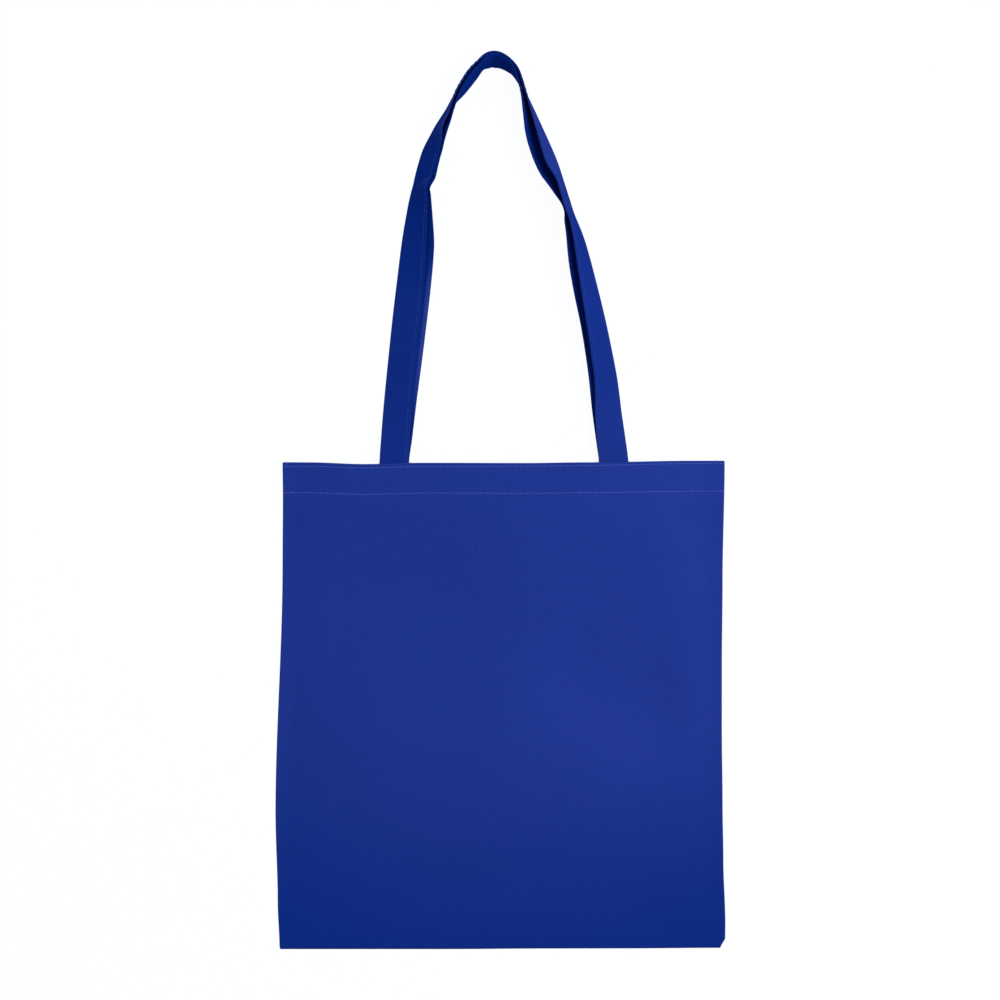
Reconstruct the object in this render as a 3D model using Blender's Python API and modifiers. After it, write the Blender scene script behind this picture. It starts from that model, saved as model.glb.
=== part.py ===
"""A flat carrier bag sewn from non-woven polypropylene cloth, with two long handles, lying on its back.

Lengths are in metres. The bag lies in the XY plane: X runs across it, +Y from its bottom fold to its mouth
and on to the handles, and +Z is up, away from the surface that it lies on. While it is being modelled the
middle of its mouth is at X = 0, Y = 0. The last step moves the whole bag so that the origin is under the
middle of its bounding box.

The body is one sheet, folded as the real one is: both ends are turned in as the hem of the mouth, the
middle is folded at the bottom, and both sides are turned in as the seam allowances. Each handle is one
strip, with its raw edges turned in and then folded in half.
"""

import math

import bmesh
import bpy
from mathutils import Vector

# The cloth
CLOTH = 0.00045
AIR = 0.00012  # between two layers that are pressed together
PITCH = CLOTH + AIR
SEWN_GAP = 0.0004  # between a handle and the hem that it is sewn to

# The body
BAG_WIDTH = 0.3806
BAG_LENGTH = 0.4200
PANEL_STEPS = 12
HEM = 0.026
ALLOWANCE = 0.009
PUFF = 0.012  # how far the front stands off the back, past the pressed layers
CREASE_MARGIN = 0.003  # the panels stay flat this far past the end of the seam allowance
SEAM_RAMP = 0.030  # the seam thickens over this length below the hem
# How far each side bows outwards, at shares of the length from the mouth to the bottom fold
LEFT_BOW = ((0.0, 0.0), (0.25, 0.0), (0.48, 0.0033), (0.70, 0.0060), (0.90, 0.0042), (1.0, 0.0022))
RIGHT_BOW = ((0.0, 0.0), (0.22, -0.0022), (0.60, -0.0020), (0.82, -0.0010), (0.95, 0.0006), (1.0, 0.0004))
CORNER_CUT = (0.0046, 0.0120)  # how far the right bottom corner is folded in, across and along

# The handles
STRAP_WIDTH = 0.0254
STRAP_TURN_IN = 0.012
STRAP_THICKNESS = 4 * CLOTH + 3 * AIR
STRAP_SPACING = 0.1898  # between the middles of the two ends of one handle
STRAP_CENTRE = 0.0005  # the middle of the two ends, across from the middle of the mouth
LOOP_RISE = 0.3555  # from the mouth to the top of the loop
NEST = 0.00045  # between the two handles where they lie against each other
LIFT = 0.0002  # between the handles and the surface under the bag
DROP = 0.060  # past the mouth, the length in which the handles come down from the hem

# The route of the loop, from the left end to the right one. Each row is a station of the front handle:
# its middle as shares of half the spacing across and of the rise, the tilts of the front and the back
# handle in degrees, and how far the back one has slid towards the inside of the loop, in metres.
ROUTE = (
    (-0.966, 0.152, 14.0, 11.0, 0.0024),
    (-0.890, 0.346, 25.0, 22.0, 0.0039),
    (-0.849, 0.444, 31.0, 27.0, 0.0047),
    (-0.817, 0.540, 40.0, 35.0, 0.0037),
    (-0.779, 0.639, 56.0, 55.0, 0.0),
    (-0.756, 0.672, 63.0, 62.0, -0.0022),
    (-0.720, 0.700, 59.0, 59.0, 0.0),
    (-0.674, 0.751, 63.0, 63.0, -0.0006),
    (-0.626, 0.788, 68.0, 68.0, -0.0012),
    (-0.574, 0.821, 80.0, 79.0, 0.0),
    (-0.516, 0.855, 86.0, 86.0, 0.0),
    (-0.435, 0.903, 90.0, 97.0, 0.0),
    (-0.319, 0.953, 90.0, 103.0, 0.0),
    (-0.239, 0.976, 90.0, 104.0, 0.0),
    (-0.172, 0.990, 90.0, 108.0, 0.0),
    (-0.093, 0.997, 90.0, 110.0, 0.0),
    (-0.009, 0.992, 90.0, 106.0, 0.0),
    (0.067, 0.977, 90.0, 100.0, 0.0),
    (0.129, 0.954, 90.0, 95.0, 0.0),
    (0.192, 0.906, 90.0, 89.0, 0.0),
    (0.322, 0.809, 81.0, 66.0, 0.0),
    (0.428, 0.735, 75.0, 59.0, 0.0),
    (0.494, 0.696, 80.0, 64.0, 0.0),
    (0.583, 0.627, 83.0, 83.0, -0.0010),
    (0.616, 0.599, 82.0, 79.0, 0.0),
    (0.671, 0.553, 76.0, 68.0, 0.0),
    (0.721, 0.493, 67.0, 55.0, 0.0),
    (0.835, 0.343, 54.0, 43.0, 0.0),
    (0.924, 0.202, 42.0, 32.0, 0.0),
    (0.943, 0.129, 30.0, 26.0, 0.0),
)
ROUTE_STEPS = 2  # rows of the handles' mesh for each stretch of the route

UP = Vector((0.0, 0.0, 1.0))
COLLECTION = "non_woven_tote_bag"
BLUE = (0.017, 0.036, 0.27, 1.0)
HANDLE_BLUE = (0.015, 0.032, 0.24, 1.0)


def smoothstep(share):
    """0 up to share 0, 1 from share 1, and a smooth rise between."""
    share = min(1.0, max(0.0, share))
    return share * share * (3.0 - 2.0 * share)


def catmull_rom(rows, index, share):
    """The row between rows[index] and the next one, on a smooth curve through all of them."""
    last = len(rows) - 1
    before, start, end, after = (rows[min(max(index + step, 0), last)] for step in (-1, 0, 1, 2))
    return tuple(
        0.5 * (2 * b + (c - a) * share + (2 * a - 5 * b + 4 * c - d) * share**2 + (3 * b - a - 3 * c + d) * share**3)
        for a, b, c, d in zip(before, start, end, after)
    )


def fold_angles(steps):
    """The turning angles between the two flat layers of a fold, both ends left out."""
    return [math.pi * step / steps for step in range(1, steps)]


def clear_scene():
    for obj in list(bpy.data.objects):
        bpy.data.objects.remove(obj)


def cloth_material(name, colour):
    """Matt spun-bonded polypropylene."""
    material = bpy.data.materials.new(name)
    material.use_nodes = True
    shader = material.node_tree.nodes["Principled BSDF"]
    shader.inputs["Base Color"].default_value = colour
    shader.inputs["Roughness"].default_value = 0.72
    shader.inputs["Metallic"].default_value = 0.0
    return material


def folded_sheet(name, collection, material, columns, rows, place, pile):
    """A flat grid with a grid line for each column and row, folded by place(column, row), then thickened.

    Layers that lie on each other run opposite ways along the sheet. Their quads are split along the same
    diagonal in space, so that the layers stay parallel where the sheet is twisted: pile(row) is the
    direction in which the layers lie on each other there.
    """
    bm = bmesh.new()
    bmesh.ops.create_grid(bm, x_segments=len(columns) - 1, y_segments=len(rows) - 1, size=1.0)
    crossing = {}
    for vert in bm.verts:
        column = round((vert.co.x + 1.0) / 2.0 * (len(columns) - 1))
        row = round((vert.co.y + 1.0) / 2.0 * (len(rows) - 1))
        crossing[vert] = (column, row)
    for vert, (column, row) in crossing.items():
        vert.co = place(columns[column], rows[row])
    bm.normal_update()
    split = {"FIXED": [], "ALTERNATE": []}
    for face in bm.faces:
        row = min(crossing[vert][1] for vert in face.verts)
        runs_back = face.normal.dot(pile(rows[row])) < 0.0
        split["ALTERNATE" if runs_back else "FIXED"].append(face)
    for method, faces in split.items():
        bmesh.ops.triangulate(bm, faces=faces, quad_method=method)
    mesh = bpy.data.meshes.new(name)
    bm.to_mesh(mesh)
    bm.free()
    mesh.shade_smooth()
    mesh.materials.append(material)
    obj = bpy.data.objects.new(name, mesh)
    collection.objects.link(obj)
    wall = obj.modifiers.new("cloth", "SOLIDIFY")
    wall.thickness = CLOTH
    wall.offset = 0.0
    wall.use_even_offset = True
    return obj


# The body


def layers_turned_in(y):
    """How many layers deep the seam allowance lies: 1 along the seam, and 3 where the hem is sewn into it."""
    return 1.0 + 2.0 * smoothstep((y + HEM + CREASE_MARGIN + SEAM_RAMP) / SEAM_RAMP)


def seam_thickness(layers):
    """The thickness of the whole bag at its side seam, with that many layers turned in on each panel."""
    return 2.0 * (layers + 1.0) * CLOTH + (2.0 * layers + 1.0) * AIR


def side_edge(side, y):
    """Where the bag's outline is at that distance from the mouth: side -1 is the left, and 1 the right."""
    bow = LEFT_BOW if side < 0 else RIGHT_BOW
    share = min(1.0, max(0.0, -y / BAG_LENGTH))
    index = max(i for i in range(len(bow) - 1) if bow[i][0] <= share)
    (start, low), (end, high) = bow[index], bow[index + 1]
    edge = BAG_WIDTH / 2.0 + low + (high - low) * smoothstep((share - start) / (end - start))
    if side > 0:
        across, along = CORNER_CUT
        edge -= across * min(1.0, max(0.0, 1.0 - (y + BAG_LENGTH) / along))
    return side * edge


def puff_across(x, y):
    """The height of the front panel over its seams as a share: 0 along both seams, and 1 in the middle."""
    left, right = side_edge(-1, y), side_edge(1, y)
    half = (right - left) / 2.0 - ALLOWANCE - CREASE_MARGIN
    offset = abs(x - (left + right) / 2.0) / half
    return max(0.0, 1.0 - offset**2)


def front_top(x, y):
    """The height of the front panel's outer face."""
    seam = seam_thickness(layers_turned_in(y))
    middle = seam_thickness(1.0) + PUFF * math.sin(math.pi / 2.0 * min(1.0, 2.0 * (y + BAG_LENGTH) / BAG_LENGTH))
    share = puff_across(x, y)
    return seam + (middle - seam) * share


def body_columns():
    """The sheet's lengthwise grid lines: (side, angle turned, run).

    On the panel, run is the share of the way from the left fold to the right one. On an allowance, it is
    the distance back from the fold.
    """
    flat = BAG_WIDTH - 2.0 * PITCH
    allowance, crease = ALLOWANCE / flat, (ALLOWANCE + CREASE_MARGIN) / flat
    middle = [crease + (1.0 - 2.0 * crease) * step / PANEL_STEPS for step in range(PANEL_STEPS + 1)]
    shares = [0.0, allowance, *middle, 1.0 - allowance, 1.0]
    return [
        (-1, math.pi, ALLOWANCE),
        (-1, math.pi, 0.0),
        *((-1, angle, 0.0) for angle in reversed(fold_angles(4))),
        *((0, 0.0, share) for share in shares),
        *((1, angle, 0.0) for angle in fold_angles(4)),
        (1, math.pi, 0.0),
        (1, math.pi, ALLOWANCE),
    ]


def body_rows():
    """The sheet's crosswise grid lines: (panel, y, depth, bottom angle).

    panel is 1 on the front, 0 in the bottom fold and -1 on the back. depth is 0 on the panel and 1 on the
    hem turned in behind it.
    """
    mouth_fold = -CLOTH / 2.0 - PITCH / 2.0
    bottom_fold = -BAG_LENGTH + seam_thickness(1.0) / 2.0
    hem_edge = -HEM - CREASE_MARGIN
    seam = [hem_edge - SEAM_RAMP * step / 3 for step in range(4)]
    corner = CORNER_CUT[1] - BAG_LENGTH
    lower = [seam[-1] + (corner - seam[-1]) * step / PANEL_STEPS for step in range(1, PANEL_STEPS + 1)]

    def half(panel):
        hem = [(panel, -HEM, 1.0, 0.0), (panel, mouth_fold, 1.0, 0.0)]
        turn = [
            (panel, mouth_fold + PITCH / 2.0 * math.sin(angle), (1.0 - math.cos(angle)) / 2.0, 0.0)
            for angle in reversed(fold_angles(4))
        ]
        lengths = [mouth_fold, -HEM, *seam, *lower, bottom_fold]
        return hem + turn + [(panel, y, 0.0, 0.0) for y in lengths]

    fold = [(0, bottom_fold, 0.0, angle) for angle in fold_angles(4)]
    return half(1) + fold + half(-1)[::-1]


def body_point(column, row):
    """Where a crossing of two grid lines comes to lie on the folded sheet, in the middle of its thickness."""
    side, angle, run = column
    panel, y, depth, bottom_angle = row
    layers = layers_turned_in(y)
    inset = CLOTH / 2.0 + layers * PITCH / 2.0
    left, right = side_edge(-1, y) + inset, side_edge(1, y) - inset
    if side == 0:
        x = left + (right - left) * run
    else:
        radius = (layers - 2.0 * depth) * PITCH / 2.0
        x = (left if side < 0 else right) + side * (radius * math.sin(angle) - run)
    deep = (depth + (layers - 2.0 * depth) * (1.0 - math.cos(angle)) / 2.0) * PITCH
    if panel == 0:
        seam = seam_thickness(layers)
        radius = (seam - CLOTH) / 2.0 - deep
        return Vector((x, y - radius * math.sin(bottom_angle), seam / 2.0 + radius * math.cos(bottom_angle)))
    if panel < 0:
        return Vector((x, y, CLOTH / 2.0 + deep))
    return Vector((x, y, front_top(x, y) - CLOTH / 2.0 - deep))


def build_body(collection):
    material = cloth_material("body_cloth", BLUE)
    return folded_sheet("body", collection, material, body_columns(), body_rows(), body_point, lambda row: UP)


# The handles


def strap_columns():
    """The strip's lengthwise grid lines, from one raw edge to the other: (across, up).

    Both are in the folded strap's own section: across runs from the folded edge to the stitched one, and
    up through its thickness, with 0 in its middle.
    """
    stitched, folded = STRAP_WIDTH / 2.0, -STRAP_WIDTH / 2.0
    tight, loose = PITCH / 2.0, 1.5 * PITCH
    raw = stitched - STRAP_TURN_IN
    tip = stitched - CLOTH / 2.0 - tight
    fold = folded + CLOTH / 2.0 + loose
    turned_in = [(raw, tight), (tip, tight)]
    turn = [(tip + tight * math.sin(angle), tight * (2.0 - math.cos(angle))) for angle in fold_angles(3)]
    outer = [(tip, loose), (raw, loose), (fold, loose)]
    folded_edge = [(fold - loose * math.sin(angle), loose * math.cos(angle)) for angle in fold_angles(4)]
    upper = turned_in + turn + outer
    lower = [(across, -up) for across, up in reversed(upper)]
    return upper + folded_edge + lower


def strap_end(side):
    """The station where a handle leaves the mouth, in the route's own terms: the front one is tilted with
    the panel that it is sewn to."""
    x, half = STRAP_CENTRE + side * STRAP_SPACING / 2.0, STRAP_WIDTH / 2.0
    rise = front_top(x - side * half, 0.0) - front_top(x + side * half, 0.0)
    return (side, 0.0, math.degrees(math.atan2(rise, STRAP_WIDTH)), 0.0, 0.0)


def route_steps():
    """The whole route: the stretch inside the hem, the loop, and the other stretch inside the hem."""
    left, right = strap_end(-1), strap_end(1)
    inside = -(HEM - STRAP_THICKNESS) / LOOP_RISE
    stations = [left, *ROUTE, right]
    loop = [
        catmull_rom(stations, index, step / ROUTE_STEPS)
        for index in range(len(stations) - 1)
        for step in range(ROUTE_STEPS)
    ]
    return [(left[0], inside, *left[2:]), *loop, right, (right[0], inside, *right[2:])]


def resting_height(tilt):
    """The height of the middle of a tilted strap that just clears the surface under the bag."""
    return LIFT + STRAP_WIDTH / 2.0 * math.sin(tilt) + STRAP_THICKNESS / 2.0 * abs(math.cos(tilt))


def nested(front_tilt, back_tilt, slide, back_height):
    """How the front handle lies against the back one: (inward offset of the back one's middle from the
    front one's, height of the front one's middle).

    Where the front handle is the steeper one, their folded edges meet. Where the back one leans past it,
    as at the top of the loop, their stitched edges meet.
    """
    half, apart = STRAP_WIDTH / 2.0, STRAP_THICKNESS + NEST
    front_height = resting_height(front_tilt)
    if back_tilt <= front_tilt:
        offset = half * (math.cos(back_tilt) - math.cos(front_tilt))
        offset += apart * math.sin(back_tilt) + slide * math.cos(back_tilt)
        folded_edge = back_height - (half + slide) * math.sin(back_tilt) + apart * math.cos(back_tilt)
        return offset, max(front_height, folded_edge + half * math.sin(front_tilt))
    front_edge = front_height + half * math.sin(front_tilt)
    back_edge = back_height + half * math.sin(back_tilt)
    shift = (front_edge - back_edge - apart * math.cos(back_tilt)) / math.sin(back_tilt)
    offset = half * (math.cos(front_tilt) - math.cos(back_tilt))
    offset += apart * math.sin(back_tilt) - shift * math.cos(back_tilt)
    return offset, front_height


def held_heights(side):
    """The heights of the middles of the front and the back handle where the hem holds them."""
    x, half = STRAP_CENTRE + side * STRAP_SPACING / 2.0, STRAP_WIDTH / 2.0
    under_hem = 2.0 * CLOTH + AIR + SEWN_GAP + STRAP_THICKNESS / 2.0
    return (front_top(x - half, 0.0) + front_top(x + half, 0.0)) / 2.0 - under_hem, under_hem


def strap_rows():
    """A row for each step of the route: each handle's middle, the direction in from the loop, and its tilt."""
    steps = route_steps()
    middles = [Vector((STRAP_CENTRE + across * STRAP_SPACING / 2.0, rise * LOOP_RISE)) for across, rise, *_ in steps]
    rows = []
    for index, (_, _, front_degrees, back_degrees, slide) in enumerate(steps):
        before, after = middles[max(index - 1, 0)], middles[min(index + 1, len(middles) - 1)]
        along = (after - before).normalized()
        inward = Vector((along.y, -along.x, 0.0))
        front_tilt, back_tilt = math.radians(front_degrees), math.radians(back_degrees)
        front_end, back_end = held_heights(-1 if index < len(steps) / 2 else 1)
        held = 1.0 - smoothstep(middles[index].y / DROP)
        back_height = resting_height(back_tilt)
        back_height += max(0.0, back_end - back_height) * held
        offset, front_height = nested(front_tilt, back_tilt, slide, back_height)
        front_height += (front_end - front_height) * held
        middle = middles[index].to_3d()
        rows.append(
            {
                "front": (middle + UP * front_height, inward, front_tilt),
                "back": (middle + inward * offset + UP * back_height, inward, back_tilt),
            }
        )
    return rows


def strap_axes(row):
    """The directions across a strap, from its folded edge to its stitched one, and through its thickness."""
    _, inward, tilt = row
    return inward * math.cos(tilt) + UP * math.sin(tilt), UP * math.cos(tilt) - inward * math.sin(tilt)


def strap_point(column, row):
    """Where a crossing of two grid lines comes to lie on the folded and twisted strip."""
    across, up = column
    width_way, thickness_way = strap_axes(row)
    return row[0] + width_way * across + thickness_way * up


def build_handle(collection, which):
    material = cloth_material(f"{which}_handle_cloth", HANDLE_BLUE)
    rows = [row[which] for row in strap_rows()]
    return folded_sheet(
        f"{which}_handle", collection, material, strap_columns(), rows, strap_point, lambda row: strap_axes(row)[1]
    )


def centre_over_origin(objects):
    """Moves the bag so that the origin is under the middle of its bounding box, on the surface it lies on."""
    bpy.context.view_layer.update()
    corners = [obj.matrix_world @ Vector(corner) for obj in objects for corner in obj.bound_box]
    low = Vector(min(corner[axis] for corner in corners) for axis in range(3))
    high = Vector(max(corner[axis] for corner in corners) for axis in range(3))
    shift = Vector(((low.x + high.x) / 2.0, (low.y + high.y) / 2.0, 0.0))
    for obj in objects:
        obj.location -= shift


def main():
    clear_scene()
    collection = bpy.data.collections.new(COLLECTION)
    bpy.context.scene.collection.children.link(collection)
    objects = [build_body(collection), build_handle(collection, "front"), build_handle(collection, "back")]
    centre_over_origin(objects)


if __name__ == "__main__":
    main()
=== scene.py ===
"""The looks of a blue non-woven tote bag with two long handles that lies on its back, seen from above.

Lengths are in metres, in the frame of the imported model: X runs across the bag, +Y from its bottom fold to its
mouth and on to the handles, and +Z is up, away from the surface that it lies on. Each class makes one part of
the bag or of the studio. The cloth pieces are flat grids that are folded into place and then thickened, and
their UV maps are the flat cloth in metres, so that the embossed pattern follows every fold.
"""

from __future__ import annotations

import logging
import math
from collections.abc import Callable, Iterable, Mapping, Sequence
from dataclasses import dataclass, field
from enum import Enum
from typing import Any

import bpy
import numpy as np
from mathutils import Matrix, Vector

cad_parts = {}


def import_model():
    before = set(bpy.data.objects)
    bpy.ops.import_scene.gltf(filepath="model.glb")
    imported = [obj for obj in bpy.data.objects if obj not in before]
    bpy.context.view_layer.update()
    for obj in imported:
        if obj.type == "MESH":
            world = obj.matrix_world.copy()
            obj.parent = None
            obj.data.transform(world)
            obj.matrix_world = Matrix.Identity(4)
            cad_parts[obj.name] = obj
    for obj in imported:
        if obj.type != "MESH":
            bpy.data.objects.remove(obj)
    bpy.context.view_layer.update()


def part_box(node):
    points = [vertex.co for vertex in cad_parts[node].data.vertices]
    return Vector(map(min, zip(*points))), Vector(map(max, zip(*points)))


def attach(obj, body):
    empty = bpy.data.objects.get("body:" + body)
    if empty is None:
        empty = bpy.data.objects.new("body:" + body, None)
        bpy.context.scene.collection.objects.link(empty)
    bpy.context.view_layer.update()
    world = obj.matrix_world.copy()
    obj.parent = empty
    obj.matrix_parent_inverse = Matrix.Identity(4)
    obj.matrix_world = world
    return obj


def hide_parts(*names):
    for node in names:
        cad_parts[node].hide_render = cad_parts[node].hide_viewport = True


LOG = logging.getLogger("tote_bag")

Colour = tuple[float, float, float]
Stops = tuple[tuple[float, float], ...]  # points (place, height) of a smooth line

CLOTH_UV = "cloth_metres"  # the UV map of a sheet: where a point is on the flat cloth
PRESSED = "pressed"  # the attribute that says how hard a fold or a seam has pressed the cloth
PAINTED_LIGHT = "painted_light"  # the attribute that says how much painted light the cloth gets: low for painted shade, high for painted light
OUTWARDS = "outwards"  # the attribute of a stitch line that says which way the surface under it faces
TWIST = "twist"  # the attribute of a stitch that carries the lay of its yarn
HEADING, TILT, CURL = 3, 4, 5  # the columns of a handle's rows that come after x, y and z
NEAR_DOUBLE = 0.4  # of the closer spacing: a grid line as near as this to the first or the last is left out
MILLIMETRE = 0.001
UP = Vector((0.0, 0.0, 1.0))


class Panel(Enum):
    """A half of the body's sheet, by the way that its outer face looks."""

    FRONT = 1
    BOTTOM = 0
    BACK = -1


class Which(Enum):
    """One of the two handles."""

    FRONT = "front"
    BACK = "back"


Column = tuple[int, float, float]  # a lengthwise grid line of the body: side, angle turned and run
Row = tuple[Panel, float, float, float]  # a crosswise one: panel, y, depth and bottom angle


def bell(distance: float, width: float) -> float:
    """1 at distance 0, falling smoothly to nothing on both sides."""
    return math.exp(-((distance / width) ** 2))


def smoothstep(share: float) -> float:
    """0 up to share 0, 1 from share 1, and a smooth rise between."""
    share = min(1.0, max(0.0, share))
    return share * share * (3.0 - 2.0 * share)


def smooth_line(stops: Stops, at: float) -> float:
    """A height on a smooth line through some points.

    Args:
        stops: The points (place, height), in order of place.
        at: The place at which the height is wanted.

    Returns:
        The height there, or the first or last height beyond the ends.
    """
    if at <= stops[0][0]:
        return stops[0][1]
    for (start, low), (end, high) in zip(stops, stops[1:]):
        if at < end:
            return low + (high - low) * smoothstep((at - start) / (end - start))
    return stops[-1][1]


def fold_angles(steps: int) -> list[float]:
    """The turning angles between the two flat layers of a fold, both ends left out."""
    return [math.pi * step / steps for step in range(1, steps)]


def new_object(name: str, data: bpy.types.ID) -> bpy.types.Object:
    """Makes an object in the scene, at the origin.

    Args:
        name: The object's name.
        data: Its mesh, camera or lamp.

    Returns:
        The new object.
    """
    made = bpy.data.objects.new(name, data)
    bpy.context.scene.collection.objects.link(made)
    return made


def graded(
    start: float, end: float, step: float, lines: Iterable[float], reach: float, fine: float
) -> list[float]:
    """Grid lines that lie closer together near some places.

    Args:
        start: The first grid line.
        end: The last grid line, on either side of the first.
        step: The spacing of the grid lines in the open.
        lines: The places near which they lie closer.
        reach: How far on each side of such a place they do.
        fine: Their spacing there.

    Returns:
        The grid lines from start to end, without near doubles.
    """
    low, high = min(start, end), max(start, end)
    count = max(1, round((high - low) / step))
    places = [low + (high - low) * index / count for index in range(count + 1)]
    near = round(reach / fine)
    close = [line + fine * index for line in lines for index in range(-near, near + 1)]
    far = [place for place in places if all(abs(place - other) > fine for other in close)]
    inside = sorted({*far, *close})
    margin = NEAR_DOUBLE * fine
    kept = [low, *(place for place in inside if low + margin < place < high - margin), high]
    return kept if start < end else kept[::-1]


# Shader and geometry trees


class Tree:
    """A node tree that is being built."""

    def __init__(self, tree: bpy.types.NodeTree) -> None:
        """Takes an empty tree."""
        self.tree = tree

    def add(
        self,
        kind: str,
        values: Mapping[str | int, Any] | None = None,
        settings: Mapping[str, Any] | None = None,
    ) -> bpy.types.Node:
        """Adds a node.

        Args:
            kind: The node's type.
            values: What goes into its sockets, by the socket's name or number: a constant, a socket to link
                or a Number.
            settings: Its settings by name, which are set first.

        Returns:
            The new node.
        """
        node = self.tree.nodes.new(kind)
        for name, setting in (settings or {}).items():
            setattr(node, name, setting)
        for name, value in (values or {}).items():
            self.feed(node.inputs[name], value)
        return node

    def feed(self, socket: bpy.types.NodeSocket, value: Any) -> None:
        """Links a socket or a Number to an input, or sets the input to a constant.

        Args:
            socket: The input.
            value: What goes into it.
        """
        if isinstance(value, Number):
            value = value.socket
        if isinstance(value, bpy.types.NodeSocket):
            self.tree.links.new(value, socket)
        else:
            socket.default_value = value

    def out(
        self, kind: str, values: Mapping[str | int, Any], settings: Mapping[str, Any] | None = None
    ) -> bpy.types.NodeSocket:
        """Adds a node and gives its first output.

        Args:
            kind: The node's type.
            values: What goes into its sockets.
            settings: Its settings by name.

        Returns:
            The first output.
        """
        return self.add(kind, values, settings).outputs[0]

    def attribute(self, name: str, output: str) -> bpy.types.NodeSocket:
        """Reads an attribute of the mesh: "Fac" is its number and "Vector" its direction."""
        return self.add("ShaderNodeAttribute", settings={"attribute_name": name}).outputs[output]

    def vector(self, x: Any = 0.0, y: Any = 0.0, z: Any = 0.0) -> bpy.types.NodeSocket:
        """Joins three numbers."""
        return self.out("ShaderNodeCombineXYZ", {0: x, 1: y, 2: z})

    def number(self, socket: bpy.types.NodeSocket) -> Number:
        """Wraps a socket that holds a number, for arithmetic."""
        return Number(self, socket)

    def mix(self, share: Any, first: Any, second: Any, blend: str = "MIX") -> bpy.types.NodeSocket:
        """Mixes two colours.

        Args:
            share: How much of the second one there is.
            first: The colour at share 0.
            second: The colour at share 1.
            blend: The way that they are blended.

        Returns:
            The socket with the mixed colour.
        """
        # Inputs 6 and 7 and output 2 are the node's colours
        values = {0: share, 6: _rgba(first), 7: _rgba(second)}
        return self.add("ShaderNodeMix", values, {"data_type": "RGBA", "blend_type": blend}).outputs[2]


def _rgba(colour: Any) -> Any:
    """A plain colour with its alpha, or a link as it is."""
    return (*colour, 1.0) if isinstance(colour, tuple) and len(colour) == 3 else colour


class Number:
    """A socket that holds a number. Arithmetic on it adds Math nodes to its tree."""

    def __init__(self, tree: Tree, socket: bpy.types.NodeSocket) -> None:
        """Takes the tree and the socket."""
        self.tree = tree
        self.socket = socket

    def _math(self, operation: str, *values: Any) -> Number:
        """A Math node on some values."""
        socket = self.tree.out("ShaderNodeMath", dict(enumerate(values)), {"operation": operation})
        return Number(self.tree, socket)

    def __add__(self, other: Any) -> Number:
        """self + other."""
        return self._math("ADD", self, other)

    __radd__ = __add__

    def __sub__(self, other: Any) -> Number:
        """self - other."""
        return self._math("SUBTRACT", self, other)

    def __rsub__(self, other: Any) -> Number:
        """other - self."""
        return self._math("SUBTRACT", other, self)

    def __mul__(self, other: Any) -> Number:
        """self * other."""
        return self._math("MULTIPLY", self, other)

    def cosine(self) -> Number:
        """The cosine of an angle in radians."""
        return self._math("COSINE", self)

    def larger(self, other: Any) -> Number:
        """The larger of two numbers."""
        return self._math("MAXIMUM", self, other)

    def rise(self, low: float, high: float) -> Number:
        """A smooth rise of this number.

        Args:
            low: Where it is still 0.
            high: Where it is already 1.

        Returns:
            The number from 0 to 1.
        """
        values = {"Value": self, "From Min": low, "From Max": high}
        settings = {"interpolation_type": "SMOOTHSTEP"}
        return Number(self.tree, self.tree.out("ShaderNodeMapRange", values, settings))


def new_material(name: str) -> tuple[bpy.types.Material, Tree, bpy.types.Node]:
    """A material with nothing in it but its output.

    Args:
        name: The material's name.

    Returns:
        The material, its tree and its output node.
    """
    material = bpy.data.materials.new(name)
    material.use_nodes = True
    material.node_tree.nodes.clear()
    tree = Tree(material.node_tree)
    return material, tree, tree.add("ShaderNodeOutputMaterial")


# Finishes


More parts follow.
